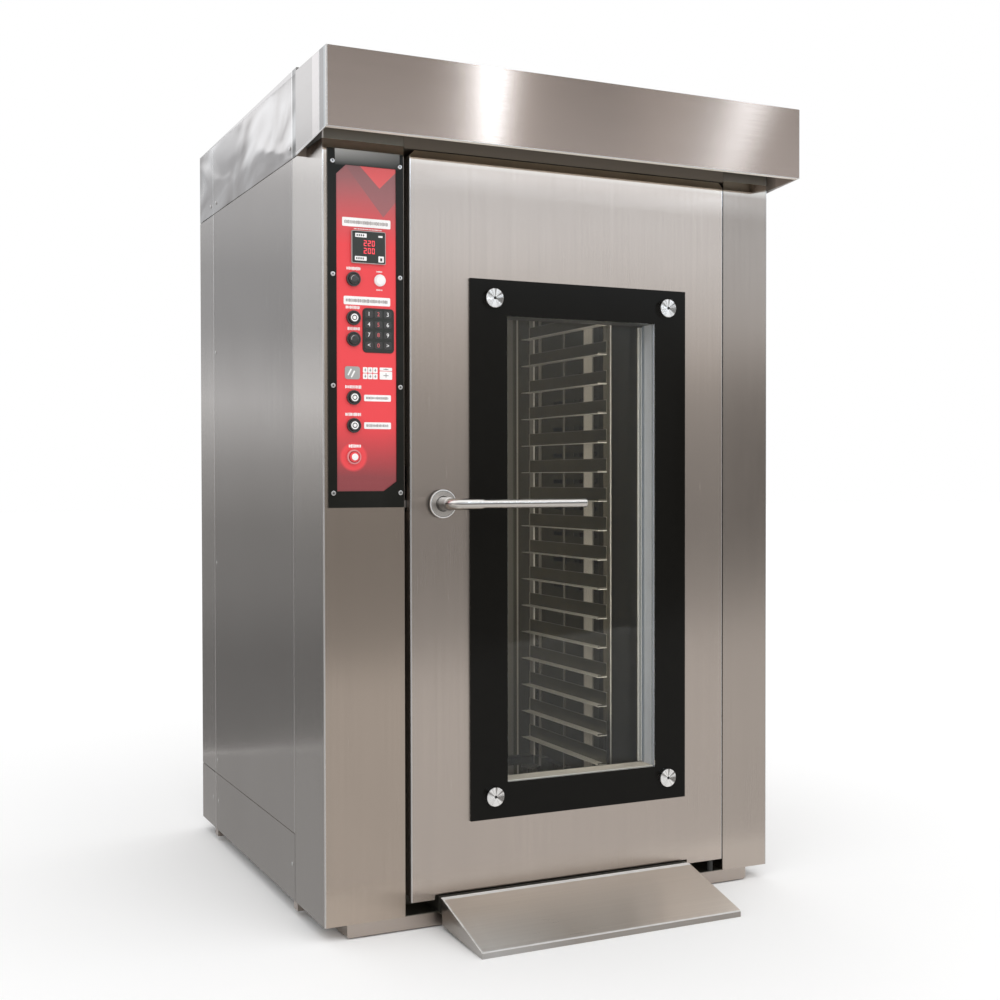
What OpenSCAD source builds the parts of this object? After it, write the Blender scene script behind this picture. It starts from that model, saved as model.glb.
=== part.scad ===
// Rotating rack oven: a floor-standing convection oven whose tray rack turns
// on a platform behind a glazed, side-hinged door, under a steam hood.
//
// +Z is up, +X is to the right seen from the front, and the front looks
// towards -Y. The origin is on the floor below the middle of the whole object.
// Depths in the modules are measured backwards from the front face.

/* [Body] */
// Width of the body
body_w = 1200; // [1160:5:1300]
// Depth of the body
body_d = 1150; // [1120:5:1300]
// Height of the roof above the floor, at its front edge
roof_z = 2002; // [1995:1:2040]
// How much lower the roof is at the back
roof_fall = 13; // [0:1:20]
// Height of the seam between the side panels and the roof cover
top_seam_z = 1795; // [1780:1:1810]
// Height of the seam between the side panels and the kick panels
kick_seam_z = 195; // [150:1:240]
// How far each front post wraps round the side
post_wrap = 224; // [190:1:260]
// Width of each rear corner post on the side
rear_corner_w = 161; // [120:1:200]
// Width of each rear corner post on the back
rear_corner_back = 80; // [60:1:120]
// Width of the front post that carries the controls
left_post_w = 193; // [192:1:200]
// Width of the front post on the hinge side
right_post_w = 134; // [125:1:140]
// Thickness of the outer sheet metal
sheet = 1.5; // [1:0.1:2]
// Gap at a seam between two panels
seam = 2; // [1:0.5:3]

/* [Base] */
// Height of the feet below the frame
foot_h = 4; // [3:0.5:8]
// Diameter of a foot
foot_d = 28; // [22:1:30]
// Height of the frame's floor members
rail_h = 30; // [24:1:36]
// Depth and width of the frame's square bars
frame_bar = 30; // [24:1:36]
// How far the front rail stays inside the body's left side
rail_inset_left = 53; // [40:1:80]
// How far the front rail stays inside the body's right side
rail_inset_right = 62; // [40:1:80]

/* [Hood] */
// How far the hood stands out in front
hood_reach = 104; // [80:1:120]
// How far the hood stands out at each side
hood_side = 25; // [15:1:35]
// Height of the hood's lower lip
hood_lip_z = 1796; // [1793:1:1810]
// Height of the hood's top
hood_top_z = 1970; // [1950:1:1985]
// How far back the hood's side cheeks reach behind the front face
hood_cheek = 116; // [100:1:160]
// How much lower the hood's cheeks are at their back
hood_cheek_fall = 19; // [0:1:30]
// Width of the folded hem round the hood's lip
hood_hem = 14; // [8:1:20]
// Where the hood's top ends behind the front face
hood_top_d = 190; // [170:1:210]

/* [Door] */
// Gap between the door and the post that carries the controls
latch_gap = 15; // [12:1:18]
// Height of the door's bottom edge
door_z = 64; // [60:1:70]
// Height of the door's top edge
door_top_z = 1790; // [1770:1:1791]
// Thickness of the door
door_t = 70; // [64:1:74]
// Gap between the door and the hinge-side post
hinge_gap = 3; // [3:0.5:4]
// How much the door's bottom is raised over the ramp
door_notch = 11; // [9:1:14]
// Thickness of the skirt below the door's hollow
skirt_t = 16; // [12:1:18]
// Cut at the door's top corners
door_chamfer = 12; // [6:1:16]
// Distance of the hinge axis from the door's edge
pivot_inset = 30; // [26:1:40]
// Distance of the hinge axis from the door's front face
pivot_depth = 10; // [9.5:0.5:11]
// Radius of the hinge pins
pivot_r = 8; // [6:0.5:9]
// Gap between a pin and the bore it turns in
bore_gap = 0.05; // [0.02:0.01:0.1]

/* [Door window] */
// Width of the glass panel
glass_w = 592; // [560:1:600]
// Height of the glass panel
glass_h = 1270; // [1240:1:1290]
// Height of the glass panel's bottom edge
glass_z = 237; // [220:1:260]
// Distance of the glass panel's left edge right of the door's left edge
glass_x = 148; // [140:1:160]
// Thickness of the outer glass
glass_t = 6; // [4:0.5:8]
// Width of the clear window
window_w = 408; // [380:1:420]
// Height of the clear window
window_h = 1102; // [1060:1:1120]
// Distance of the window's left edge inside the glass panel's edge
window_x = 96; // [80:1:110]
// Height of the window above the glass panel's bottom edge
window_z = 84; // [78:1:90]
// Thickness of the inner glass
inner_glass_t = 4; // [3:0.5:5]
// Diameter of the glass panel's clamping caps
cap_d = 45; // [38:1:50]
// Height of a clamping cap above the glass
cap_h = 14; // [10:1:18]
// Distance of a cap's centre from the glass panel's side edge
cap_inset_x = 58; // [50:1:60]
// Distance of a cap's centre from the glass panel's top or bottom edge
cap_inset_z = 45; // [40:1:55]
// How much further from the edge the two lower caps sit
cap_low_lift = 10; // [0:1:16]

/* [Handle] */
// Distance of the handle's axis from the door's left edge
handle_x = 76; // [70:1:82]
// Height of the handle
handle_z = 982; // [900:1:1040]
// Diameter of the handle's rose
rose_d = 66; // [56:1:72]
// Thickness of the rose
rose_t = 14; // [8:1:18]
// Radius of the handle's neck and bar
lever_r = 9.8; // [8:0.1:11]
// Distance of the bar's axis in front of the door
lever_reach = 75; // [65:1:85]
// Length of the bar from the handle's axis
lever_l = 342; // [300:1:350]
// Radius of the handle's bend
lever_bend = 45; // [38:1:50]
// Size of the square spindle
spindle = 10; // [8:0.5:12]
// How far the handle turns down, in degrees
lever_turn = 60; // [30:5:60]
// How far the latch reaches past the door's edge
latch_reach = 8; // [6:1:10]

/* [Ramp] */
// Width of the ramp
ramp_w = 675; // [640:1:678]
// How far the ramp reaches in front of the body
ramp_reach = 244; // [220:1:300]
// Height of the lip along the ramp's front edge
ramp_lip = 15; // [10:1:20]
// Height of the threshold that the ramp leads to
threshold_z = 72; // [71:0.5:73]
// Thickness of the ramp's sheet metal
ramp_t = 2; // [1.5:0.1:2.5]
// How much the ramp's sides rise from the floor to the back
ramp_side_rise = 11; // [6:1:16]

/* [Chamber] */
// Distance of the rack's axis right of the body's middle
rotor_x = 12; // [8:1:13]
// Distance of the rack's axis behind the front face
rotor_d = 580; // [575:1:590]
// Width of the chamber's mouth
mouth_w = 680; // [676:1:684]
// Height of the chamber's ceiling
ceiling_z = 1745; // [1740:1:1750]
// Height of the chamber's outer top
plenum_z = 1850; // [1845:1:1870]
// Distance of the chamber's left wall from the rack's axis
chamber_left = 422; // [418:1:424]
// Distance of the slotted wall from the rack's axis
chamber_right = 418; // [414:1:424]
// Distance of the chamber's rear wall behind the rack's axis
chamber_rear = 420; // [414:1:430]
// Width of the air duct behind the slotted wall
duct_w = 100; // [80:1:106]
// Height of an air slot
slot_h = 12; // [8:1:20]
// Length of an air slot
slot_l = 110; // [60:1:130]

/* [Rack] */
// Width of the rack
rack_w = 660; // [640:1:664]
// Depth of the rack
rack_d = 450; // [430:1:460]
// Size of the rack's square tubes
rack_tube = 25; // [20:1:30]
// Height of the rack's underside
rack_z = 178; // [176:1:184]
// Height of the rack's top
rack_top_z = 1665; // [1655:1:1675]
// Number of pairs of runners
runner_count = 17; // [12:1:17]
// Distance from one runner to the next
runner_pitch = 80; // [70:1:80]
// Height of the lowest runner above the rack's underside
runner_first = 78; // [60:1:80]
// Height of a runner's web
runner_web = 38; // [20:1:44]
// Width of a runner's ledge
runner_ledge = 28; // [20:1:34]
// How far the runners stand out in front of the rack's tubes
runner_nose = 18; // [8:1:24]
// Radius of the rack's platform
platform_r = 400; // [395:1:404]
// Thickness of the platform
platform_t = 3; // [2:0.5:3]

/* [Castors] */
// Radius of a castor wheel
wheel_r = 38; // [34:1:40]
// Width of a castor wheel
wheel_w = 28; // [22:1:30]
// Radius of a castor's axle
axle_r = 5; // [4:0.5:6]
// How far a swivelling castor's wheel trails its pivot
castor_trail = 22; // [15:1:24]
// Distance of a castor from the rack's side
castor_inset_x = 50; // [45:1:60]
// Distance of a castor from the rack's front or back
castor_inset_y = 50; // [45:1:60]

/* [Drive and fan] */
// Radius of the shaft that turns the rack
drive_r = 15; // [12:0.5:16]
// Radius of the fan wheel
fan_r = 130; // [110:1:134]
// Distance of the fan's axis behind the front face
fan_d = 855; // [850:1:858]
// Height of the fan wheel's blades
fan_h = 58; // [40:1:60]
// Number of fan blades
fan_blades = 12; // [8:1:16]
// Outer radius of the steam exhaust spigot
spigot_r = 75; // [50:1:80]
// Height of the spigot above the roof
spigot_h = 60; // [50:1:70]

/* [Control panel] */
// Distance of the panel from the post's left edge
panel_x = 11; // [8:1:14]
// Width of the panel
panel_w = 180; // [176:1:181]
// Height of the panel's bottom edge
panel_z = 975; // [960:1:980]
// Height of the panel
panel_h = 800; // [790:1:805]
// Width of the black border at the left
border_left = 20; // [16:1:24]
// Width of the black border at the right
border_right = 18; // [14:1:22]
// Height of the black border at the bottom
border_bottom = 37; // [30:1:44]
// Height of the black border at the top
border_top = 34; // [28:1:40]
// Thickness of the panel's border
border_t = 4; // [3:0.5:5]
// Radius of a button's bezel
bezel_r = 16.5; // [14:0.1:17]
// Radius of a button
button_r = 12; // [10:0.1:13]
// How far a button moves
button_travel = 3; // [2:0.5:3]

/* [Hidden] */

$fn = 48;
over = 1;                            // how far a cut runs past a surface

// Colours
steel = [0.68, 0.65, 0.62];
dark_steel = [0.36, 0.35, 0.33];
black = [0.1, 0.1, 0.1];
white = [0.9, 0.9, 0.88];

// Frame of the whole object
front_y = (ramp_reach - body_d) / 2; // the front face, so that the origin is in the middle
half_w = body_w / 2;
frame_top = foot_h + rail_h;         // top of the floor members, where the skins start
skin_z = frame_top;
left_post_x = -half_w + left_post_w; // inner edge of each front post
right_post_x = half_w - right_post_w;
rear_seam = body_d - rear_corner_w;  // depth of the seam at the rear corner posts
bar_x = half_w - sheet - frame_bar;  // inner side of the frame's uprights
roof_step = hood_top_d;              // depth at which the roof starts
post_top_z = hood_top_z - sheet;     // the posts run up inside the hood
post_lip = 6;                        // a post's side flange inside the hood
fold_gap = 0.2;                      // between the hood's plates at their folds
rail_x0 = -half_w + rail_inset_left; // ends of the front rail
rail_x1 = half_w - rail_inset_right;
feet_x = [rail_x0 + frame_bar / 2, rail_x1 - frame_bar / 2];
feet_y = [frame_bar * 2.3, body_d - frame_bar * 2.7];

// Door
door_x1 = right_post_x - hinge_gap;
door_x0 = left_post_x + latch_gap;
pivot_x = door_x1 - pivot_inset;
top_gap = 3;                         // from the door's top to the apron above it
skirt_gap = 8;                       // from the ramp's side to the door's skirts
ramp_x0 = rotor_x - ramp_w / 2;
ramp_x1 = rotor_x + ramp_w / 2;
door_back_z = door_z + door_notch;   // bottom of the door behind its skirt
pan_z0 = door_back_z + sheet;        // inside of the door's hollow
pan_z1 = door_top_z - door_chamfer - sheet;
glass_x0 = door_x0 + glass_x;
win_x0 = glass_x0 + window_x;
win_x1 = win_x0 + window_w;
win_z0 = glass_z + window_z;
win_z1 = win_z0 + window_h;
liner_t = 2;                         // sheet of the door's liner and of the chamber
reveal_y = door_t - liner_t;         // front of the liner's flat back
inner_glass_y = reveal_y - 8 - inner_glass_t;
hub_r = 14;                          // the door's hinge bushes
hub_l = 30;
pin_l = 24;                          // how far a hinge pin enters the door
handle_cx = door_x0 + handle_x;
latch_l = handle_x + latch_reach;
latch_y = 26;                        // front of the latch arm
latch_t = 8;
latch_h = 16;
keeper_y = latch_y + latch_t + 1;
latch_room = latch_l * sin(lever_turn) + latch_h; // hollow kept free round the latch
mech_gap = 3;

// Chamber, with depths from the front face
mouth_y = 83;                        // front face of the chamber's mouth frame
gasket_gap = 0.3;
gasket_w = 16;
gasket_lap = 6;                      // from the mouth's edge to the gasket
floor_top = threshold_z - platform_t - 1;
floor_t = 3;
channel_y = -20;                     // front of the channel that holds the ramp's hem
hook_gap = 0.3;
threshold_y = -8;                    // front of the threshold box
mouth_x0 = rotor_x - mouth_w / 2;
mouth_x1 = rotor_x + mouth_w / 2;
wall_x0 = rotor_x - chamber_left;    // inner face of the left wall
slotted_x = rotor_x + chamber_right; // inner face of the slotted wall
duct_x1 = slotted_x + liner_t + duct_w;
rear_in = rotor_d + chamber_rear;
liner_y = mouth_y + liner_t;

// Rack
rack_x0 = rotor_x - rack_w / 2;
rack_x1 = rotor_x + rack_w / 2;
rack_y0 = rotor_d - rack_d / 2;
rack_y1 = rotor_d + rack_d / 2;
runner_t = 1.5;
crossbar_h = 25;
platform_z = threshold_z - platform_t;
wheel_z = threshold_z + 0.3 + wheel_r;
castor_x = rack_w / 2 - castor_inset_x;
castor_y = rack_d / 2 - castor_inset_y;
fork_t = 3;
fork_gap = 1;

// Fan and drive
left_slab = 58;                      // insulation beside the left wall
slab = 36;                           // insulation beside the air duct
rear_slab = (body_d - rear_in) * 0.4; // insulation behind the rear wall
top_slab = 50;                       // insulation on top of the chamber
motor_z = plenum_z + liner_t + top_slab;
fan_z = ceiling_z + liner_t + 18;
shaft_r = 8;
shaft_in = 38;                       // how far the drive's shaft enters the gearbox
spigot_d = 340;                      // depth of the exhaust spigot's axis
pipe_r = spigot_r - 1;               // the exhaust pipe below the roof
flange_t = 3;                        // weld flange round the spigot
flange_w = 15;
inlet_z = 300;                       // height of the supply's inlet gland

// Control panel
overlay_t = 2;
panel_x0 = -half_w + panel_x;
panel_x1 = panel_x0 + panel_w;
screen_x0 = panel_x0 + border_left;
screen_x1 = panel_x1 - border_right;
screen_z0 = panel_z + border_bottom;
screen_z1 = panel_z + panel_h - border_top;
button_x = panel_x0 + panel_w * 0.3306; // column of round buttons
button_z = panel_z + panel_h * 0.1425;  // centre of the lowest one
bezel_h = 6;
stem_r = 5;                          // the shank behind each button
cut_left = 23;                       // slanted corner at the overlay's upper left
cut_right = 31;                      // slanted corner at its lower right
cut_h = 22;

// ---- shapes -------------------------------------------------------------

// A block between two X, two depths and two heights
module block(x, y, z) {
    translate([x[0], front_y + y[0], z[0]])
        cube([x[1] - x[0], y[1] - y[0], z[1] - z[0]]);
}

// An outline in X and Z, from depth y over thickness t
module front_plate(points, y, t) {
    translate([0, front_y + y + t, 0]) rotate([90, 0, 0])
        linear_extrude(t) polygon(points);
}

// An outline in depth and Z, from x over thickness t
module side_plate(points, x, t) {
    translate([x, front_y, 0]) rotate([90, 0, 90])
        linear_extrude(t) polygon(points);
}

// Round bars along Z, depth and X
module post_bar(x, y, z, r) {
    translate([x, front_y + y, z[0]]) cylinder(r = r, h = z[1] - z[0]);
}

module depth_bar(x, y, z, r) {
    translate([x, front_y + y[0], z]) rotate([-90, 0, 0]) cylinder(r = r, h = y[1] - y[0]);
}

module cross_bar(x, y, z, r) {
    translate([x[0], front_y + y, z]) rotate([0, 90, 0]) cylinder(r = r, h = x[1] - x[0]);
}

// A sheet frame round a hole, in X and Z
module sheet_frame(x, y, z, hole_x, hole_z) {
    difference() {
        block(x, y, z);
        block(hole_x, [y[0] - over, y[1] + over], hole_z);
    }
}

// Copies at +-x about the body's middle
module both_sides() {
    children();
    mirror([1, 0, 0]) children();
}

// ---- base and body --------------------------------------------------------

module body_frame() {
    color(steel) difference() {
        union() {
            // floor members; the front one shows below the door
            front_plate([[rail_x0, foot_h + 4], [rail_x0 + 4, foot_h], [rail_x1 - 4, foot_h],
                [rail_x1, foot_h + 4], [rail_x1, frame_top], [rail_x0, frame_top]], 2, frame_bar);
            block([rail_x0, rail_x1], [body_d - 56, body_d - 26], [foot_h, frame_top]);
            for (x = [rail_x0, rotor_x - frame_bar / 2, rail_x1 - frame_bar])
                block([x, x + frame_bar], [frame_bar, body_d - 40], [foot_h, frame_top]);
            // cross members that reach the uprights
            for (y = [post_wrap, rear_seam])
                block([-half_w + sheet, half_w - sheet],
                    [y - frame_bar / 2, y + frame_bar / 2], [foot_h + 10, frame_top]);
            // uprights behind the seams, with a rail along each seam
            both_sides() {
                for (y = [post_wrap, rear_seam])
                    block([bar_x, half_w - sheet],
                        [y - frame_bar / 2, y + frame_bar / 2], [foot_h + 10, top_seam_z]);
                for (z = [kick_seam_z, top_seam_z])
                    block([bar_x, half_w - sheet],
                        [post_wrap, rear_seam], [z - frame_bar / 2, z + frame_bar / 2]);
            }
            // ring round the top, on the uprights
            for (y = [post_wrap, rear_in])
                block([-bar_x - over, bar_x + over],
                    [y - frame_bar / 2, y + frame_bar / 2],
                    [motor_z, motor_z + frame_bar]);
            both_sides() {
                block([bar_x, half_w - sheet], [post_wrap, rear_in + frame_bar / 2],
                    [motor_z, motor_z + frame_bar]);
                for (y = [post_wrap, rear_seam])
                    block([bar_x, half_w - sheet],
                        [y - frame_bar / 2, y + frame_bar / 2], [top_seam_z, motor_z + frame_bar]);
            }
        }
        for (x = feet_x, y = feet_y)
            post_bar(x, y, [foot_h - over, foot_h + rail_h * 0.8], shaft_r - 2 + bore_gap);
    }
}

module levelling_feet() {
    color(dark_steel) for (x = feet_x, y = feet_y) {
        post_bar(x, y, [0, foot_h], foot_d / 2);
        post_bar(x, y, [0, foot_h + rail_h * 0.7], shaft_r - 2);
    }
}

module chamber_floor() {
    boss_r = 30;
    sill_d = rotor_d - platform_r - 10;
    color(dark_steel) difference() {
        union() {
            // floor plate with a turned-down edge
            difference() {
                block([wall_x0 - liner_t, duct_x1 + liner_t], [liner_y, rear_in + liner_t],
                    [frame_top, floor_top]);
                block([wall_x0, duct_x1], [liner_y + liner_t, rear_in],
                    [frame_top - over, floor_top - floor_t]);
            }
            post_bar(rotor_x, rotor_d, [frame_top, floor_top], boss_r);
            // apron below the door
            block([left_post_x, right_post_x], [2, liner_y + over], [frame_top, frame_top + sheet]);
            // threshold box that passes under the door
            difference() {
                block([ramp_x0, ramp_x1], [threshold_y, sill_d], [frame_top, threshold_z]);
                block([ramp_x0 + liner_t, ramp_x1 - liner_t],
                    [threshold_y + liner_t, sill_d + over],
                    [frame_top + liner_t, threshold_z - liner_t]);
            }
            // channel that the ramp's hem drops into
            block([ramp_x0, ramp_x1], [channel_y, threshold_y], [frame_top, frame_top + liner_t]);
            block([ramp_x0, ramp_x1], [channel_y, channel_y + liner_t],
                [frame_top, threshold_z - 8]);
        }
        post_bar(rotor_x, rotor_d, [frame_top - over, floor_top + over], drive_r + bore_gap);
        post_bar(rotor_x, rotor_d, [floor_top, threshold_z + over], platform_r + 3);
    }
}

module left_front_post() {
    color(steel) {
        difference() {
            union() {
                block([-half_w, left_post_x], [0, sheet], [skin_z, post_top_z]);
                block([-half_w, -half_w + sheet], [0, post_wrap - seam / 2],
                    [skin_z, top_seam_z - seam / 2]);
                block([-half_w, -half_w + sheet], [0, post_lip], [skin_z, post_top_z]);
                block([left_post_x - sheet, left_post_x], [0, mouth_y], [skin_z, post_top_z]);
                block([-half_w, left_post_x], [0, mouth_y], [skin_z, skin_z + sheet]);
                // stop that the latch lies in front of
                block([left_post_x - over, door_x0 - latch_gap / 2 + 0.5],
                    [keeper_y, keeper_y + latch_t * 1.75],
                    [handle_z - latch_h * 2.5, handle_z + latch_h * 2.5]);
            }
            // opening in the front for the back of the controls
            block([screen_x0 + 10, screen_x1 - 10], [-over, sheet + over],
                [screen_z0 + 10, screen_z1 - 10]);
        }
    }
}

module right_front_post() {
    color(steel) {
        block([right_post_x, half_w], [0, sheet], [skin_z, post_top_z]);
        block([half_w - sheet, half_w], [0, post_wrap - seam / 2],
            [skin_z, top_seam_z - seam / 2]);
        block([half_w - sheet, half_w], [0, post_lip], [skin_z, post_top_z]);
        block([right_post_x, right_post_x + sheet], [0, mouth_y], [skin_z, post_top_z]);
        block([right_post_x, half_w], [0, mouth_y], [skin_z, skin_z + sheet]);
    }
}

// One side skin between the front post and the rear corner
module side_skin(z) {
    block([-half_w, -half_w + sheet], [post_wrap + seam / 2, rear_seam - seam / 2], z);
}

module left_side_panel() {
    color(steel) side_skin([kick_seam_z + seam / 2, top_seam_z - seam / 2]);
}

module right_side_panel() {
    color(steel) mirror([1, 0, 0]) side_skin([kick_seam_z + seam / 2, top_seam_z - seam / 2]);
}

module left_kick_panel() {
    color(steel) side_skin([skin_z, kick_seam_z - seam / 2]);
}

module right_kick_panel() {
    color(steel) mirror([1, 0, 0]) side_skin([skin_z, kick_seam_z - seam / 2]);
}

module rear_corner_posts() {
    spans = [[skin_z, kick_seam_z - seam / 2], [kick_seam_z + seam / 2, top_seam_z - seam / 2]];
    color(steel) both_sides() for (z = spans) {
        block([half_w - sheet, half_w], [rear_seam + seam / 2, body_d], z);
        block([half_w - rear_corner_back, half_w], [body_d - sheet, body_d], z);
    }
}

module rear_panel() {
    x = half_w - rear_corner_back - seam;
    top = roof_z - roof_fall - sheet;
    vent_w = half_w * 0.2;
    flange_x = half_w * 0.667;
    gland_r = 14;
    color(steel) {
        difference() {
            block([-x, x], [body_d - sheet, body_d], [skin_z, top]);
            // cooling slots of the motor space
            for (side = [-1, 1], i = [0:4])
                block([side * half_w * 0.5 - vent_w / 2, side * half_w * 0.5 + vent_w / 2],
                    [body_d - sheet - over, body_d + over],
                    [motor_z + 20 + 12 * i, motor_z + 26 + 12 * i]);
            depth_bar(-x + 60, [body_d - sheet - over, body_d + over], inlet_z, gland_r - 4);
        }
        // flange that screws to the frame
        for (s = [-1, 1])
            block([s * flange_x - 15, s * flange_x + 15], [body_d - 26, body_d - sheet],
                [frame_top - 10, frame_top + 20]);
        // inlet gland for the supply
        difference() {
            depth_bar(-x + 60, [body_d - sheet - 10, body_d], inlet_z, gland_r);
            depth_bar(-x + 60, [body_d - sheet - 11, body_d + over], inlet_z, gland_r - 4);
        }
    }
}

module roof_cover() {
    cheek = [[post_lip + seam, top_seam_z + seam / 2], [body_d, top_seam_z + seam / 2],
        [body_d, roof_z - roof_fall], [roof_step, roof_z], [roof_step, hood_top_z - sheet],
        [post_lip + seam, hood_top_z - sheet]];
    color(steel) difference() {
        union() {
            side_plate(cheek, -half_w, sheet);
            side_plate(cheek, half_w - sheet, sheet);
            side_plate([[roof_step, roof_z - sheet], [roof_step, roof_z],
                [body_d, roof_z - roof_fall], [body_d, roof_z - roof_fall - sheet]],
                -half_w, body_w);
            block([-half_w, half_w], [roof_step, roof_step + sheet], [hood_top_z + 1, roof_z - over]);
            both_sides() block([half_w - rear_corner_back, half_w],
                [body_d - sheet, body_d], [top_seam_z + seam / 2, roof_z - roof_fall - over]);
            // exhaust pipe, with a weld flange on the roof
            post_bar(0, spigot_d, [plenum_z + liner_t, roof_z + spigot_h], pipe_r);
            post_bar(0, spigot_d, [roof_z, roof_z + spigot_h], spigot_r);
            post_bar(0, spigot_d, [roof_z - flange_t, roof_z + flange_t], spigot_r + flange_w);
        }
        post_bar(0, spigot_d, [plenum_z, roof_z + spigot_h + over], pipe_r - sheet);
    }
}

// The hood's folded sheets, each a plain plate so that its inside stays open
module hood_shell() {
    x = half_w + hood_side;
    inner_x = x - sheet - fold_gap;
    front = -hood_reach + sheet + fold_gap;
    back = hood_cheek - sheet - fold_gap;
    apron_z = door_top_z + top_gap;
    fall = hood_cheek_fall * (back + hood_reach) / (hood_cheek + hood_reach);
    cheek = [[front, hood_lip_z], [back, hood_lip_z - fall], [back, hood_top_z],
        [front, hood_top_z]];
    color(steel) {
        block([-x, x], [-hood_reach, -hood_reach + sheet], [hood_lip_z, hood_top_z]);
        block([-inner_x, inner_x], [front, -hood_reach + hood_hem], [hood_lip_z, hood_lip_z + sheet]);
        side_plate(cheek, -x, sheet);
        side_plate(cheek, x - sheet, sheet);
        block([-inner_x, inner_x], [front, back], [hood_top_z - sheet, hood_top_z]);
        block([-half_w, half_w], [back + fold_gap, hood_top_d], [hood_top_z - sheet, hood_top_z]);
        // back edges that close the cheeks onto the body
        both_sides() block([half_w + fold_gap, x], [back + fold_gap, hood_cheek],
            [hood_lip_z - hood_cheek_fall, hood_top_z]);
        // apron above the door
        block([left_post_x + 0.5, right_post_x - 0.5], [0, sheet],
            [apron_z + sheet + fold_gap, hood_top_z - sheet - fold_gap]);
        block([left_post_x + 0.5, right_post_x - 0.5], [0, mouth_y], [apron_z, apron_z + sheet]);
    }
}

// ---- chamber --------------------------------------------------------------

module chamber_liner() {
    color(dark_steel) difference() {
        union() {
            difference() {
                block([wall_x0 - liner_t, duct_x1 + liner_t], [mouth_y + over, rear_in + liner_t],
                    [floor_top, plenum_z + liner_t]);
                block([wall_x0, duct_x1], [mouth_y, rear_in], [floor_top - over, plenum_z]);
            }
            // mouth frame between the posts
            sheet_frame([left_post_x, right_post_x], [mouth_y, mouth_y + liner_t],
                [frame_top + sheet, post_top_z], [mouth_x0, mouth_x1], [frame_top, ceiling_z]);
        }
        block([ramp_x0 - 0.5, ramp_x1 + 0.5], [mouth_y - over, liner_y + liner_t],
            [frame_top, threshold_z + 1]);
        post_bar(rotor_x, rotor_d, [plenum_z - over, plenum_z + liner_t + over], drive_r + 3);
        post_bar(rotor_x, fan_d, [plenum_z - over, plenum_z + liner_t + over], shaft_r + 3);
        post_bar(0, spigot_d, [plenum_z - over, plenum_z + liner_t + over], pipe_r - sheet);
    }
}

module chamber_ceiling() {
    inlet_r = fan_r - 30;
    color(dark_steel) difference() {
        block([wall_x0, duct_x1], [liner_y, rear_in], [ceiling_z, ceiling_z + liner_t]);
        post_bar(rotor_x, rotor_d, [ceiling_z - over, ceiling_z + liner_t + over], drive_r + 3);
        post_bar(rotor_x, fan_d, [ceiling_z - over, ceiling_z + liner_t + over], inlet_r);
        // outlet towards the duct
        block([slotted_x + liner_t + 10, duct_x1 - 10], [rear_in * 0.3, rear_in * 0.9],
            [ceiling_z - over, ceiling_z + liner_t + over]);
        post_bar(0, spigot_d, [ceiling_z - over, ceiling_z + liner_t + over], spigot_r - 20);
    }
}

module insulation() {
    x0 = wall_x0 - liner_t;
    x1 = duct_x1 + liner_t;
    y1 = rear_in + liner_t;
    color([0.8, 0.75, 0.55]) difference() {
        union() {
            block([x0 - left_slab, x0], [liner_y + 5, y1], [frame_top, plenum_z]);
            block([x1, x1 + slab], [liner_y + 5, y1], [frame_top, plenum_z]);
            block([x0 - left_slab, x1 + slab], [y1, y1 + rear_slab], [frame_top, plenum_z]);
            block([x0 - left_slab, x1 + slab], [liner_y + 5, y1 + rear_slab],
                [plenum_z + liner_t, motor_z]);
        }
        // clear of the frame's members and seams
        for (y = [post_wrap, rear_seam]) both_sides()
            block([bar_x - 2, half_w], [y - frame_bar / 2 - 2, y + frame_bar / 2 + 2],
                [0, motor_z + over]);
        for (z = [kick_seam_z, top_seam_z]) both_sides()
            block([bar_x - 2, half_w], [post_wrap, rear_seam],
                [z - frame_bar / 2 - 2, z + frame_bar / 2 + 2]);
        block([-half_w, half_w], [y1 - over, body_d], [frame_top - over, frame_top + 1]);
        post_bar(rotor_x, rotor_d, [plenum_z, motor_z + over], drive_r + 3);
        post_bar(rotor_x, fan_d, [plenum_z, motor_z + over], shaft_r + 3);
        post_bar(0, spigot_d, [plenum_z, motor_z + over], pipe_r + 0.3);
    }
}

module duct_wall() {
    columns = 3;
    rows = 17;
    pitch = slot_l * 1.18;
    row_z = rack_z + runner_first + slot_h * 4;
    color(dark_steel) difference() {
        block([slotted_x, slotted_x + liner_t], [liner_y, rear_in], [floor_top, ceiling_z]);
        for (i = [0:rows - 1], j = [0:columns - 1])
            block([slotted_x - over, slotted_x + liner_t + over],
                [rotor_d - 20 + pitch * (j - 0.5), rotor_d - 20 + pitch * (j - 0.5) + slot_l],
                [row_z + runner_pitch * i, row_z + slot_h + runner_pitch * i]);
    }
}

// Three hairpin heaters standing in the duct
module heating_elements() {
    tube_r = 6;
    bend_r = 40;
    x = (slotted_x + liner_t + duct_x1) / 2;
    foot = floor_top + 0.3;
    top = ceiling_z * 0.86;
    pitch = slot_l * 1.45;
    color(dark_steel) for (y = [rotor_d - pitch, rotor_d, rotor_d + pitch]) {
        for (s = [-1, 1]) post_bar(x, y + s * bend_r, [foot, top], tube_r);
        translate([x, front_y + y, top]) rotate([90, 0, 90])
            rotate_extrude(angle = 180) translate([bend_r, 0]) circle(r = tube_r);
    }
}

module fan_impeller() {
    blade_l = 46;
    hub_h = 30;
    color(steel) difference() {
        union() {
            post_bar(rotor_x, fan_d, [fan_z, fan_z + 2], fan_r);
            post_bar(rotor_x, fan_d, [fan_z, fan_z + hub_h], 22);
            for (i = [0:fan_blades - 1])
                translate([rotor_x, front_y + fan_d, fan_z]) rotate([0, 0, 360 / fan_blades * i])
                    translate([fan_r - blade_l - 1, -1, 1]) cube([blade_l, 2, fan_h]);
        }
        post_bar(rotor_x, fan_d, [fan_z - over, fan_z + hub_h + over], shaft_r);
    }
}

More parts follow.
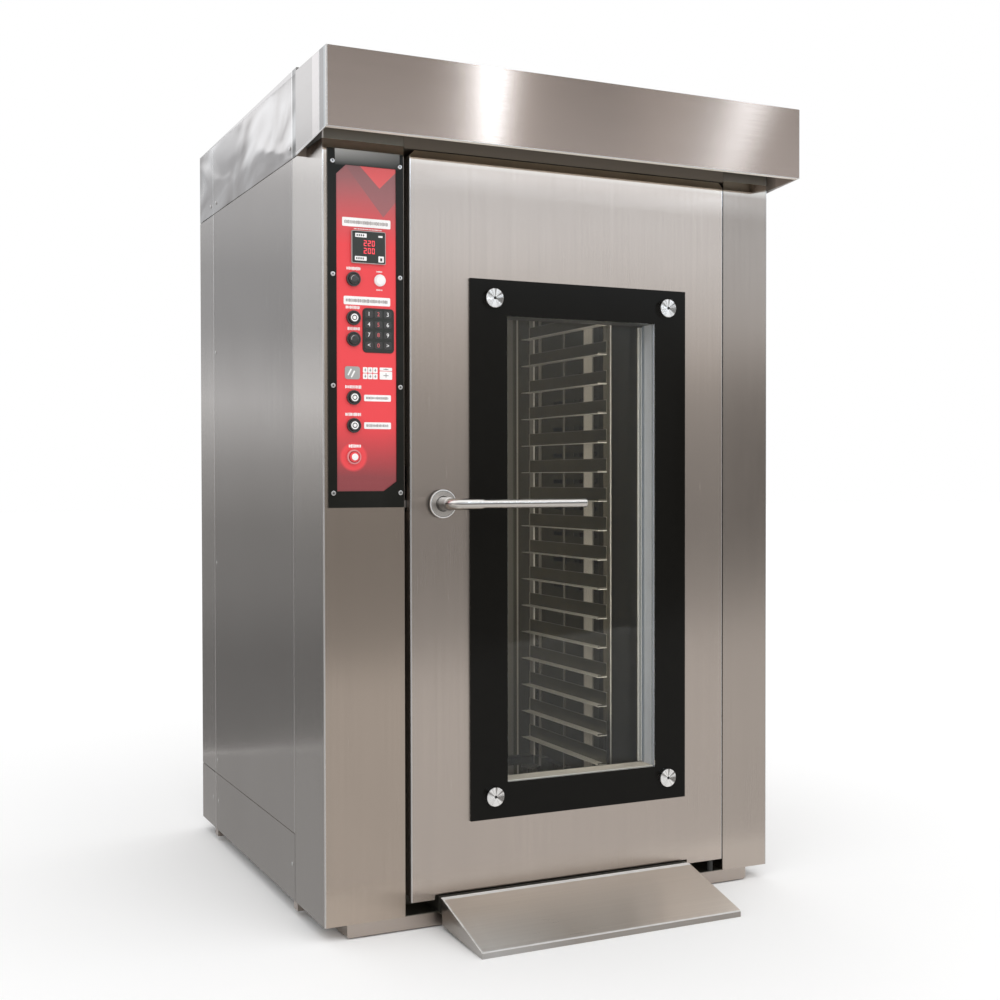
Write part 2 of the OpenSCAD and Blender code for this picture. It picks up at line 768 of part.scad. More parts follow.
module fan_motor() {
    color(dark_steel) {
        post_bar(rotor_x, fan_d, [motor_z, motor_z + fan_r * 0.57], fan_r * 0.48);
        post_bar(rotor_x, fan_d, [fan_z - 6, motor_z + over], shaft_r - 0.05);
    }
}

module drive_gearmotor() {
    box_w = drive_r * 4.3;
    motor_l = drive_r * 10;
    motor_r = drive_r * 2.13;
    axis_z = motor_z + motor_r + 2;
    color(dark_steel) {
        difference() {
            block([rotor_x - box_w, rotor_x + box_w], [rotor_d - box_w, rotor_d + box_w],
                [motor_z, motor_z + drive_r * 4]);
            post_bar(rotor_x, rotor_d, [motor_z - over, motor_z + shaft_in + 2], drive_r + bore_gap);
        }
        // the motor and its fan cover, lying on the gearbox's side
        cross_bar([rotor_x + box_w, rotor_x + box_w + motor_l], rotor_d, axis_z, motor_r);
        cross_bar([rotor_x + box_w + motor_l, rotor_x + box_w + motor_l + 20], rotor_d,
            axis_z, motor_r - 4);
    }
}

module drive_shaft() {
    tine = crossbar_h * 0.4;
    arm = crossbar_h * 1.2;
    clear = 0.5;
    bridge_z = rack_top_z + crossbar_h + 4;
    half = crossbar_h / 2 + clear;
    color(steel) {
        post_bar(rotor_x, rotor_d, [bridge_z, motor_z + shaft_in], drive_r);
        block([rotor_x - arm, rotor_x + arm], [rotor_d - half - tine, rotor_d + half + tine],
            [bridge_z, bridge_z + 12]);
        for (s = [-1, 1]) block([rotor_x - arm, rotor_x + arm],
            [rotor_d + (s > 0 ? half : -half - tine), rotor_d + (s > 0 ? half + tine : -half)],
            [rack_top_z + 2, bridge_z + over]);
    }
}

module platform() {
    color(steel) {
        post_bar(rotor_x, rotor_d, [platform_z, threshold_z], platform_r);
        post_bar(rotor_x, rotor_d, [floor_top + 0.2, platform_z + over], 29);
        post_bar(rotor_x, rotor_d, [frame_top + 2, platform_z + over], drive_r);
    }
}

// ---- rack -----------------------------------------------------------------

module rack_frame() {
    t = rack_tube;
    strip = 3;
    color(steel) {
        for (x = [rack_x0, rack_x1 - t], y = [rack_y0, rack_y1 - t])
            block([x, x + t], [y, y + t], [rack_z, rack_top_z]);
        for (z = [rack_z, rack_top_z - t]) {
            for (y = [rack_y0, rack_y1 - t]) block([rack_x0, rack_x1], [y, y + t], [z, z + t]);
            for (x = [rack_x0, rack_x1 - t]) block([x, x + t], [rack_y0, rack_y1], [z, z + t]);
        }
        // upright strips behind the runners
        for (side = [0, 1], y = [[0.133, 0.251], [0.507, 0.524], [0.833, 0.867]])
            block(side == 0 ? [rack_x0 + t - strip, rack_x0 + t] : [rack_x1 - t, rack_x1 - t + strip],
                [rack_y0 + rack_d * y[0], rack_y0 + rack_d * y[1]], [rack_z, rack_top_z]);
        // bar that the drive fork takes hold of
        block([rack_x0, rack_x1], [rotor_d - crossbar_h / 2, rotor_d + crossbar_h / 2],
            [rack_top_z, rack_top_z + crossbar_h]);
        for (x = [rack_x0, rack_x1 - t])
            block([x, x + t], [rotor_d - 40, rotor_d + 40], [rack_top_z - t, rack_top_z]);
    }
}

// One runner: a web against the tubes and a ledge for the tray's edge
module runner(z) {
    inner = rack_w / 2 - rack_tube;
    translate([rotor_x, 0, 0]) {
        block([inner - runner_t, inner], [rack_y0 - runner_nose, rack_y1], [z, z + runner_web]);
        block([inner - runner_ledge, inner - over / 2], [rack_y0 - runner_nose, rack_y1],
            [z, z + runner_t]);
        block([inner - runner_ledge, inner - over / 2],
            [rack_y0 - runner_nose, rack_y0 - runner_nose + runner_t], [z, z + 6]);
    }
}

module rack_runners() {
    color(steel) for (i = [0:runner_count - 1]) {
        z = rack_z + runner_first + runner_pitch * i;
        runner(z);
        translate([rotor_x, 0, 0]) mirror([1, 0, 0]) translate([-rotor_x, 0, 0]) runner(z);
    }
}

// A castor's fork: two cheeks and an axle under a top plate, at the origin
module fork(trail, top) {
    cheek_x = wheel_w / 2 + fork_gap;
    plate_r = 26;
    drop = wheel_z - 14;
    translate([0, 0, top - 4]) cylinder(r = plate_r, h = 4);
    for (s = [-1, 1])
        translate([s > 0 ? cheek_x : -cheek_x - fork_t, -14 + trail, drop])
            cube([fork_t, 28, top - drop - 1]);
    for (s = [-1, 1])
        translate([s > 0 ? cheek_x - 2 : -cheek_x - fork_t, -20 + min(trail, 0), top - 5])
            cube([fork_t + 2, 40 + abs(trail) / 2, 4]);
    translate([-cheek_x - fork_t, trail, wheel_z]) rotate([0, 90, 0])
        cylinder(r = axle_r, h = 2 * (cheek_x + fork_t));
}

module castor_wheel(x, y) {
    color(black) translate([x, front_y + y, wheel_z]) rotate([0, 90, 0]) difference() {
        translate([0, 0, -wheel_w / 2]) cylinder(r = wheel_r, h = wheel_w);
        translate([0, 0, -wheel_w / 2 - over]) cylinder(r = axle_r + bore_gap, h = wheel_w + 2 * over);
    }
}

module fixed_castor_forks() {
    color(steel) for (s = [-1, 1])
        translate([rotor_x + s * castor_x, front_y + rotor_d + castor_y, 0]) fork(0, rack_z);
}

module swivel_fork(side) {
    color(steel) translate([rotor_x + side * castor_x, front_y + rotor_d - castor_y, 0])
        fork(-castor_trail, rack_z - 0.3);
}

module swivel_fork_left() {
    swivel_fork(-1);
}

module swivel_fork_right() {
    swivel_fork(1);
}

module wheel_front_left() {
    castor_wheel(rotor_x - castor_x, rotor_d - castor_y - castor_trail);
}

module wheel_front_right() {
    castor_wheel(rotor_x + castor_x, rotor_d - castor_y - castor_trail);
}

module wheel_rear_left() {
    castor_wheel(rotor_x - castor_x, rotor_d + castor_y);
}

module wheel_rear_right() {
    castor_wheel(rotor_x + castor_x, rotor_d + castor_y);
}

module oven_lamp() {
    z = ceiling_z * 0.825;
    d = rack_y0 * 0.56;
    lamp_r = duct_w * 0.34;
    color(white) {
        cross_bar([wall_x0, wall_x0 + 6], d, z, lamp_r);
        cross_bar([wall_x0, wall_x0 + 18], d, z, lamp_r * 0.76);
    }
}

module electrics_tray() {
    x0 = -half_w + left_post_w * 0.104;
    x1 = left_post_x - left_post_w * 0.104;
    back = mouth_y - 15;             // front of the mounting plate
    z0 = skin_z + frame_bar;
    z1 = top_seam_z * 0.947;
    h = z1 - z0;
    pitch = (x1 - x0) / 3;
    color(dark_steel) {
        block([x0, x1], [back, back + liner_t], [z0, z1]);
        // cleats on the post's inner flange
        for (z = [z0 + 10, z1 - 10])
            block([x0, left_post_x - sheet], [back, back + 6], [z - 12, z + 12]);
        // contactors, relays and terminals
        for (i = [0:2])
            block([x0 + pitch * (i + 0.1), x0 + pitch * (i + 0.9)], [back - 48, back + over],
                [z0 + h * 0.352, z0 + h * 0.401]);
        for (i = [0:5])
            block([x0 + pitch * (i + 0.1) / 2, x0 + pitch * (i + 0.9) / 2], [back - 38, back + over],
                [z0 + h * 0.266, z0 + h * 0.315]);
        block([x0 + 6, x1 - 6], [back - 28, back + over], [z0 + h * 0.193, z0 + h * 0.218]);
    }
}

// ---- door -----------------------------------------------------------------

module door_shell() {
    bush_z = [[door_back_z, pan_z0 + hub_l], [pan_z1 - hub_l, door_top_z]];
    color(steel) difference() {
        union() {
            difference() {
                union() {
                    block([door_x0, door_x1], [0, door_t],
                        [door_back_z, door_top_z - door_chamfer]);
                    front_plate([[door_x0, door_top_z - door_chamfer],
                        [door_x1, door_top_z - door_chamfer], [door_x1 - door_chamfer, door_top_z],
                        [door_x0 + door_chamfer, door_top_z]], 0, door_t);
                }
                block([door_x0 + sheet, door_x1 - sheet], [sheet, door_t + over], [pan_z0, pan_z1]);
            }
            for (z = bush_z) post_bar(pivot_x, pivot_depth + 5, z, hub_r);
        }
        post_bar(pivot_x, pivot_depth, [door_back_z - over, door_z + pin_l + 2], pivot_r + bore_gap);
        post_bar(pivot_x, pivot_depth, [door_top_z - pin_l - 2, door_top_z + over],
            pivot_r + bore_gap);
        block([win_x0, win_x1], [-over, sheet + over], [win_z0, win_z1]);
        depth_bar(handle_cx, [-over, sheet + over], handle_z, lever_r + 2);
        // slot in the door's edge for the latch
        block([door_x0 - over, door_x0 + sheet + over], [latch_y - mech_gap, latch_y + latch_t + mech_gap],
            [handle_z - latch_h, handle_z + latch_room]);
    }
}

// Strips under the door at both sides of the ramp
module door_skirts() {
    color(steel) difference() {
        for (x = [[door_x0, ramp_x0 - skirt_gap], [ramp_x1 + skirt_gap, door_x1]])
            block(x, [0, skirt_t], [door_z, door_back_z]);
        post_bar(pivot_x, pivot_depth, [door_z - over, door_back_z + over], pivot_r + bore_gap);
    }
}

module door_liner() {
    gap = 0.3;
    color(dark_steel) difference() {
        union() {
            block([door_x0 + sheet + gap, door_x1 - sheet - gap], [reveal_y, door_t],
                [pan_z0 + gap, pan_z1 - gap]);
            // reveal round the window
            block([win_x0 - liner_t, win_x1 + liner_t], [sheet, reveal_y + over],
                [win_z0 - liner_t, win_z1 + liner_t]);
        }
        block([win_x0, win_x1], [0, door_t + over], [win_z0, win_z1]);
    }
}

module door_insulation() {
    gap = 0.5;
    y = [sheet, reveal_y];
    color([0.8, 0.75, 0.55]) difference() {
        block([door_x0 + sheet + gap, door_x1 - sheet - gap], y, [pan_z0 + gap, pan_z1 - gap]);
        block([win_x0 - liner_t - gap, win_x1 + liner_t + gap], [0, door_t],
            [win_z0 - liner_t - gap, win_z1 + liner_t + gap]);
        // room for the latch and the hinge bushes
        block([door_x0, handle_cx + latch_room], [0, door_t],
            [handle_z - latch_room, handle_z + latch_room]);
        for (z = [[door_z, pan_z0 + hub_l + gap], [pan_z1 - hub_l - gap, door_top_z]])
            block([pivot_x - hub_r - gap, door_x1], [0, 36], z);
    }
}

module outer_glass() {
    color(black) block([glass_x0, glass_x0 + glass_w], [-glass_t, 0], [glass_z, glass_z + glass_h]);
}

module inner_glass() {
    gap = 0.3;
    color([0.6, 0.7, 0.7]) block([win_x0 + gap, win_x1 - gap],
        [inner_glass_y, inner_glass_y + inner_glass_t], [win_z0 + gap, win_z1 - gap]);
}

module glass_caps() {
    dx = glass_w / 2 - cap_inset_x;
    dz = glass_h / 2 - cap_inset_z;
    color(steel) for (i = [-1, 1], j = [-1, 1])
        depth_bar(glass_x0 + glass_w / 2 + i * dx, [-glass_t - cap_h, -glass_t],
            glass_z + glass_h / 2 + j * dz + (j < 0 ? cap_low_lift : 0), cap_d / 2);
}

module door_gasket() {
    x0 = mouth_x0 - gasket_lap - gasket_w;
    x1 = mouth_x1 + gasket_lap + gasket_w;
    z0 = pan_z0 + 1.5;
    z1 = ceiling_z + gasket_lap + gasket_w;
    color(black) sheet_frame([x0, x1], [door_t, mouth_y - gasket_gap], [z0, z1],
        [x0 + gasket_w, x1 - gasket_w], [z0 + gasket_w, z1 - gasket_w]);
}

module hinge_pivots() {
    apron_z = door_top_z + top_gap;
    color(steel) {
        post_bar(pivot_x, pivot_depth, [frame_top + sheet, door_z + pin_l], pivot_r);
        post_bar(pivot_x, pivot_depth, [door_top_z - pin_l, apron_z], pivot_r);
    }
}

module handle_rose() {
    color(steel) difference() {
        depth_bar(handle_cx, [-rose_t, 0], handle_z, rose_d / 2);
        depth_bar(handle_cx, [-rose_t - over, over], handle_z, lever_r + bore_gap);
    }
}

module handle_lever() {
    neck = lever_reach - lever_bend;
    collar = 1.6;
    color(steel) {
        depth_bar(handle_cx, [-neck, 1], handle_z, lever_r);
        translate([handle_cx + lever_bend, front_y - neck, handle_z]) rotate([0, 0, 180])
            rotate_extrude(angle = 90) translate([lever_bend, 0]) circle(r = lever_r);
        cross_bar([handle_cx + lever_bend, handle_cx + lever_l], -lever_reach, handle_z, lever_r);
        cross_bar([handle_cx + lever_bend + 26, handle_cx + lever_bend + 30],
            -lever_reach, handle_z, lever_r + collar);
        block([handle_cx - spindle / 2, handle_cx + spindle / 2], [0, latch_y + latch_t + 6],
            [handle_z - spindle / 2, handle_z + spindle / 2]);
    }
}

module latch_arm() {
    y = [latch_y, latch_y + latch_t];
    hub = 14;
    color(dark_steel) difference() {
        union() {
            depth_bar(handle_cx, y, handle_z, hub);
            block([handle_cx - latch_l, handle_cx], y, [handle_z - latch_h / 2, handle_z + latch_h / 2]);
        }
        block([handle_cx - spindle / 2, handle_cx + spindle / 2], [y[0] - over, y[1] + over],
            [handle_z - spindle / 2, handle_z + spindle / 2]);
    }
}

// ---- control panel ----------------------------------------------------------

function overlay_outline(gap) = [[screen_x0 + gap, screen_z0 + gap],
    [screen_x1 - cut_right, screen_z0 + gap], [screen_x1 - gap, screen_z0 + cut_h],
    [screen_x1 - gap, screen_z1 - gap], [screen_x0 + cut_left, screen_z1 - gap],
    [screen_x0 + gap, screen_z1 - cut_h]];

module panel_frame() {
    color(black) difference() {
        block([panel_x0, panel_x1], [-border_t, 0], [panel_z, panel_z + panel_h]);
        front_plate(overlay_outline(0), -border_t - over, border_t + 2 * over);
    }
}

module panel_overlay() {
    color([0.85, 0.16, 0.2]) difference() {
        front_plate(overlay_outline(0.2), -overlay_t, overlay_t);
        for (p = all_buttons()) depth_bar(p[0], [-overlay_t - over, over], p[1], stem_r + 0.3);
    }
}

// Centres of the round controls, in X and height, lowest first
function button_at(i) = [button_x,
    button_z + panel_h * [0, 0.0884, 0.1665, 0.33, 0.3893, 0.4975][i]];
function all_buttons() = [for (i = [0:5]) button_at(i)];

module display_module() {
    x = [panel_x0 + panel_w * 0.3028, panel_x0 + panel_w * 0.7528];
    z = [panel_z + panel_h * 0.685, panel_z + panel_h * 0.7763];
    rim = 5;
    color(black) difference() {
        block(x, [-overlay_t - 6, -overlay_t], z);
        block([x[0] + rim, x[1] - rim], [-overlay_t - 7, -overlay_t - 4], [z[0] + rim, z[1] - rim]);
    }
}

module keypad() {
    w = panel_w * 0.4167;
    h = panel_h * 0.125;
    r = 8;
    x = panel_x0 + panel_w * 0.4528;
    z = panel_z + panel_h * 0.4363;
    color(black) translate([0, front_y - overlay_t, 0]) rotate([90, 0, 0]) linear_extrude(3)
        hull() for (i = [r, w - r], j = [r, h - r]) translate([x + i, z + j]) circle(r = r);
}

module button_bezels() {
    color(dark_steel) for (p = all_buttons()) difference() {
        depth_bar(p[0], [-overlay_t - bezel_h, -overlay_t], p[1], bezel_r);
        depth_bar(p[0], [-overlay_t - bezel_h - over, -overlay_t + over], p[1], button_r + 0.2);
    }
}

// A button cap on its shank, free to move in by button_travel
module push_button(i, tone) {
    p = button_at(i);
    rest_gap = 0.2;
    back = -overlay_t - rest_gap - button_travel;
    color(tone) {
        depth_bar(p[0], [back - 6, back], p[1], button_r);
        depth_bar(p[0], [back - over, 12], p[1], stem_r);
    }
}

module stop_button() {
    push_button(0, [0.85, 0.16, 0.2]);
}

module damper_button() {
    push_button(1, black);
}

module fan_button() {
    push_button(2, black);
}

module steam_button() {
    push_button(3, black);
}

module light_button() {
    push_button(4, black);
}

module start_button() {
    push_button(5, black);
}

module indicator_lamp() {
    x = panel_x0 + panel_w * 0.6806;
    z = panel_z + panel_h * 0.6406;
    color(white) {
        depth_bar(x, [-overlay_t - 5, -overlay_t], z, button_r + 1.4);
        depth_bar(x, [-overlay_t - 8, -overlay_t], z, button_r - 2);
    }
}

module panel_screws() {
    head_r = 3.6;
    head_h = 2;
    dx = 11;
    shares = [0.041, 0.341, 0.651, 0.965];
    side_z = [kick_seam_z + 40, top_seam_z * 0.446, top_seam_z * 0.78];
    color(steel) {
        for (x = [panel_x0 + dx, panel_x1 - dx + 2], share = shares)
            depth_bar(x, [-border_t - head_h, -border_t], panel_z + panel_h * share, head_r);
        // screws beside the seams of the sides
        for (s = [-1, 1], y = [rear_seam - 30, rear_seam + 30, post_wrap + 20],
            z = [kick_seam_z - 76, top_seam_z + 28])
            cross_bar(s > 0 ? [half_w, half_w + head_h] : [-half_w - head_h, -half_w], y, z, head_r);
        for (s = [-1, 1], z = side_z)
            cross_bar(s > 0 ? [half_w, half_w + head_h] : [-half_w - head_h, -half_w],
                rear_seam - 20, z, head_r);
    }
}

// ---- ramp -------------------------------------------------------------------

module ramp() {
    t = ramp_t;
    y0 = -ramp_reach;
    y1 = channel_y - 4;
    hem_y = channel_y + liner_t + hook_gap;
    top = threshold_z;
    color(steel) {
        side_plate([[y0, ramp_lip - t], [y0, ramp_lip], [y1, top], [hem_y + t, top],
            [hem_y + t, top - 14], [hem_y, top - 14], [hem_y, top - t], [y1, top - t]],
            ramp_x0, ramp_w);
        block([ramp_x0, ramp_x1], [y0, y0 + t], [0, ramp_lip]);
        for (x = [ramp_x0, ramp_x1 - t])
            side_plate([[y0, 0], [y0, ramp_lip], [y1, top - t / 2], [y1, ramp_side_rise]], x, t);
    }
}

// ---- every piece --------------------------------------------------------------

body_frame();
levelling_feet();
chamber_floor();
left_front_post();
right_front_post();
left_side_panel();
right_side_panel();
left_kick_panel();
right_kick_panel();
rear_corner_posts();
rear_panel();
roof_cover();
hood_shell();
chamber_liner();
chamber_ceiling();
insulation();
duct_wall();
heating_elements();
fan_impeller();
fan_motor();
drive_gearmotor();
drive_shaft();
platform();
rack_frame();
rack_runners();
fixed_castor_forks();
swivel_fork_left();
swivel_fork_right();
wheel_front_left();
wheel_front_right();
wheel_rear_left();
wheel_rear_right();
oven_lamp();
electrics_tray();
door_shell();
door_skirts();
door_liner();
door_insulation();
outer_glass();
inner_glass();
glass_caps();
door_gasket();
hinge_pivots();
handle_rose();
handle_lever();
latch_arm();
panel_frame();
panel_overlay();
display_module();
keypad();
button_bezels();
start_button();
light_button();
steam_button();
fan_button();
damper_button();
stop_button();
indicator_lamp();
panel_screws();
ramp();
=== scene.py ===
"""Looks for the rotating rack oven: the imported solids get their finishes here, and the
pieces that the solids leave out are modelled round them."""

import math
import random

import bmesh
import bpy
from mathutils import Matrix, Vector


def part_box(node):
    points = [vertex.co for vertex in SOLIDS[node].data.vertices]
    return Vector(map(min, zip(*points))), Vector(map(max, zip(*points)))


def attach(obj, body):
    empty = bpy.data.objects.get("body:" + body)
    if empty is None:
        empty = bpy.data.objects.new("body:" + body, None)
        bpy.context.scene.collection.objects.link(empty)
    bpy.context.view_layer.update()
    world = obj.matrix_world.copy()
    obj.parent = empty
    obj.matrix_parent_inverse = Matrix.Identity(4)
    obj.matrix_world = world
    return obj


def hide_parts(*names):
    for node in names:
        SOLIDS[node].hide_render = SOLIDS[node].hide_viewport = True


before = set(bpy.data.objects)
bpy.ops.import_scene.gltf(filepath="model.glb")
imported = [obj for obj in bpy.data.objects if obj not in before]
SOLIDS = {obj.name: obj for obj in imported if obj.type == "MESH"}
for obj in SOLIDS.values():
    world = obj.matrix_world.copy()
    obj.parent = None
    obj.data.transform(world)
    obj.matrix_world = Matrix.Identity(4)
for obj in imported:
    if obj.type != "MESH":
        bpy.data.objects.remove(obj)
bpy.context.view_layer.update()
bpy.ops.object.select_all(action="DESELECT")
FRONT_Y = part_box("left_front_post")[0].y
random.seed(7)

# ---------------------------------------------------------------- node helpers


class Wire:
    """The output of a node. Sums, differences and products of wires are nodes again."""

    def __init__(self, tree, socket):
        self.tree = tree
        self.socket = socket

    def __add__(self, other):
        return maths("ADD", self, other)

    def __sub__(self, other):
        return maths("SUBTRACT", self, other)

    def __rsub__(self, other):
        return maths("SUBTRACT", other, self)

    def __mul__(self, other):
        return maths("MULTIPLY", self, other)


def plug(socket, value):
    """A wire linked to a socket, or a plain value set on it."""
    if isinstance(value, Wire):
        value.tree.links.new(value.socket, socket)
    elif isinstance(value, tuple) and socket.type == "RGBA":
        socket.default_value = (*value, 1)
    else:
        socket.default_value = value


def node(tree, kind, inputs, out=0, **settings):
    """A node with its settings and inputs; gives the wire from one of its outputs."""
    new = tree.nodes.new("ShaderNode" + kind)
    for name, value in settings.items():
        setattr(new, name, value)
    for name, value in inputs.items():
        plug(new.inputs[name], value)
    return Wire(tree, new.outputs[out])


def new_material(name, solids=""):
    """A material on the named solids, with its tree and the Principled shader in it."""
    material = bpy.data.materials.new(name)
    material.use_nodes = True
    for solid in solids.split():
        SOLIDS[solid].material_slots[0].material = material
    tree = material.node_tree
    return material, tree, tree.nodes["Principled BSDF"]


def fill(shader, **inputs):
    """Inputs of a shader, with _ for the spaces in their names."""
    for name, value in inputs.items():
        plug(shader.inputs[name.replace("_", " ")], value)


def times(colour, factor):
    return tuple(part * factor for part in colour)


def place(tree, scale=(1, 1, 1)):
    """Object coordinates, stretched."""
    coords = node(tree, "TexCoord", {}, "Object")
    return node(tree, "Mapping", {"Vector": coords, "Scale": scale})


def noise(vector, scale=1.0, detail=3.0, rough=0.5, warp=0.0):
    return node(vector.tree, "TexNoise",
                {"Vector": vector, "Scale": scale, "Detail": detail, "Roughness": rough,
                 "Distortion": warp}, "Fac")


def spread(value, low=0.0, high=1.0, start=0.3, end=0.7):
    """value from start..end brought to low..high."""
    return node(value.tree, "MapRange",
                {"Value": value, "From Min": start, "From Max": end, "To Min": low,
                 "To Max": high}, "Result")


def ramp(value, stops, smooth=True):
    """Colours at places from 0 to 1."""
    new = value.tree.nodes.new("ShaderNodeValToRGB")
    bar = new.color_ramp
    bar.interpolation = "EASE" if smooth else "LINEAR"
    while len(bar.elements) < len(stops):
        bar.elements.new(0.5)
    for element, (position, colour) in zip(bar.elements, stops):
        element.position = position
        element.color = (*colour, 1)
    plug(new.inputs["Fac"], value)
    return Wire(value.tree, new.outputs["Color"])


def maths(operation, a, b=0.0, clamp=False):
    tree = (a if isinstance(a, Wire) else b).tree
    return node(tree, "Math", {0: a, 1: b}, operation=operation, use_clamp=clamp)


# the sockets of a mix node that are about colours
MIX_SHARE, MIX_A, MIX_B, MIX_RESULT = 0, 6, 7, 2


def blend(share, a, b, how="MIX"):
    """Colour a, with b over it by a share."""
    tree = next(one.tree for one in (share, a, b) if isinstance(one, Wire))
    return node(tree, "Mix", {MIX_SHARE: share, MIX_A: a, MIX_B: b}, MIX_RESULT,
                data_type="RGBA", blend_type=how)


def bumps(height, depth, strength=1.0, below=None):
    inputs = {"Strength": strength, "Distance": depth, "Height": height}
    if below:
        inputs["Normal"] = below
    return node(height.tree, "Bump", inputs, "Normal")


def dulled(metal, share):
    """Metal that gives way to a plain surface where share is 1."""
    return maths("SUBTRACT", metal, share * METAL_LOST, True)


# ---------------------------------------------------------------- places on the object
# In metres: how the lower edge of the hood's cheeks falls to the back, how the ramp rises,
# where the rack's lowest ledge is and how far the next one.
CHEEK_FALL, RAMP_RISE, FIRST_LEDGE, LEDGE_STEP = 0.0646, 0.259, 0.246, 0.08


def split_places(tree):
    """Object coordinates by axis, and three measures that follow the object's forms."""
    split = tree.nodes.new("ShaderNodeSeparateXYZ")
    plug(split.inputs["Vector"], place(tree))
    coords = {axis: Wire(tree, split.outputs[axis.upper()]) for axis in "xyz"}
    coords["cheek"] = coords["z"] + coords["y"] * CHEEK_FALL
    coords["slope"] = coords["z"] - coords["y"] * RAMP_RISE
    coords["step"] = maths("MODULO", coords["z"] - FIRST_LEDGE, LEDGE_STEP)
    return coords


def near(coords, axis, value, width):
    """1 within width of a plane, 0 away from it; below 0, the width of a soft fall from
    the plane on."""
    gap = maths("ABSOLUTE", coords[axis] - value)
    if width < 0:
        return spread(gap, 1.0, 0.0, 0.0, -width)
    return spread(gap, 1.0, 0.0, width * 0.8, width * 1.2)


def past(coords, side, value):
    """1 on one side of a plane, 0 on the other; side is an axis with > or < behind it."""
    away = (coords[side[:-1]] - value) * (1 if side[-1] == ">" else -1)
    return spread(away, 0.0, 1.0, -0.0002, 0.0002)


def where(coords, planes):
    """1 where all the planes hold: (axis, value, width) near one, (side, value) past it."""
    total = None
    for plane in planes:
        one = near(coords, *plane) if len(plane) == 3 else past(coords, *plane)
        total = total * one if total else one
    return total


def any_of(coords, places):
    """1 where one of the places is."""
    total = where(coords, places[0])
    for planes in places[1:]:
        total = maths("MAXIMUM", total, where(coords, planes))
    return total


def fold(value, middle, step):
    """The distance from the nearest of the places middle, middle + step, ..."""
    return maths("MODULO", value - (middle - step / 2), step) - step / 2


# ---------------------------------------------------------------- finishes

STEEL_TINT = (0.46, 0.4, 0.355)
# the colour of the painted highlights along edges
EDGE_HIGHLIGHT = (0.97, 0.95, 0.93)
DARK_SEAM = (0.05, 0.045, 0.04)
# how much rougher the painted edge highlights and dull faces are, and how much of the metal dull
# ones lose
HIGHLIGHT_ROUGHER, DULL_ROUGHER, METAL_LOST = 0.3, 0.45, 0.85
FINE_GRAIN = {"upright": (900, 900, 7), "level": (7, 7, 900), "depth": (7, 900, 900)}
WIDE_GRAIN = {"upright": (160, 160, 2), "level": (2, 2, 160), "depth": (2, 160, 160)}
# a front face lies at FACE, just behind it is BEHIND_FACE; the hood's lower edge is at
# HOOD_LOW, its cheeks at -CHEEK and CHEEK
FACE, BEHIND_FACE, HOOD_LOW, CHEEK = -0.453, -0.4515, 1.796, 0.625
# the four caps of the window: the first one's place, and the way to the next ones
CAP_X, CAP_Z, CAP_STEP_X, CAP_STEP_Z = -0.186, 0.292, 0.476, 1.17


def brushed_steel(name, solids="", grain="upright", tint=STEEL_TINT, rough=0.24, brush=1.0,
                  waves=0.0, wave_size=1.0, streak=0.02, edge_highlights=(), seams=(), dull=(),
                  others=(), smooth=None, twist=None, flow=(1, 0.8, 0.9), pale=False,
                  axis="Z", calm=None):
    """Stainless sheet with a brushed grain, faint stains and, where asked, shallow waves.
    edge_highlights: places where a painted highlight lines an edge; seams: places with a
    dark line; dull: the place of the faces with a coarser finish; others: places with
    another tint, most of them painted light and shade (each in the words of where()).
    smooth: heights between which the grain gives way to a plain polish.
    twist: from which x on, about which height, and how much a plate winds. flow: how the
    waves stretch. pale: bright places scatter the light. calm: above it waves are low."""
    material, tree, shader = new_material(name, solids)
    grain_fine = noise(place(tree, FINE_GRAIN[grain]), 1.0, 2.0, 0.6)
    grain_wide = noise(place(tree, WIDE_GRAIN[grain]), 1.0, 2.0, 0.5)
    patches = noise(place(tree), 2.2, 4.0, 0.55, 0.3)
    shade = blend(spread(grain_wide), times(tint, 1 - streak), times(tint, 1 + streak))
    shade = blend(spread(patches, 0.0, 0.5, 0.45, 0.75), shade, times(tint, 0.934))
    gloss = spread(grain_fine * 0.5 + patches * 0.5, rough - 0.03, rough + 0.04)
    coords = split_places(tree)
    metal = 1.0
    for planes, other in others:
        there = where(coords, planes)
        shade = blend(there, shade, tuple(b / a for a, b in zip(tint, other)), "MULTIPLY")
        if pale:
            metal = dulled(metal, there)
    # painted highlights: bright lines along edges, in the place of the glint of a rounded edge
    if edge_highlights:
        edge = any_of(coords, edge_highlights) * spread(grain_wide, 0.7, 1.0)
        shade = blend(edge, shade, EDGE_HIGHLIGHT)
        gloss = gloss + edge * HIGHLIGHT_ROUGHER
        if pale:
            metal = dulled(metal, edge)
    if seams:
        shade = blend(any_of(coords, seams), shade, DARK_SEAM)
    if dull:
        inner = where(coords, dull)
        gloss = gloss + inner * DULL_ROUGHER
        metal = dulled(metal, inner)
    normal = bumps(grain_fine, 0.00002, 0.5)
    if waves:
        swell = noise(place(tree, flow), wave_size, 1.5, 0.4, 0.6)
        if calm:
            swell = swell * spread(coords["z"], 1.0, 0.12, calm, calm + 0.001)
        normal = bumps(swell, waves, 1.0, normal)
    if twist:
        start, level, wind = twist
        way = maths("MAXIMUM", coords["x"] - start, 0.0)
        normal = bumps(way * (coords["z"] - level), wind, 1.0, normal)
    if smooth:
        plain = spread(coords["z"], 0.0, 1.0, *smooth) * past(coords, "y<", BEHIND_FACE)
        gloss = gloss * (1.0 - plain * 0.85)
        brush = (1.0 - plain) * brush
    fill(shader, Base_Color=shade, Roughness=gloss, Normal=normal, Metallic=metal,
         Anisotropic=brush, Anisotropic_Rotation=0.25 if grain == "level" else 0.0,
         Tangent=node(tree, "Tangent", {}, direction_type="RADIAL", axis=axis))
    return material


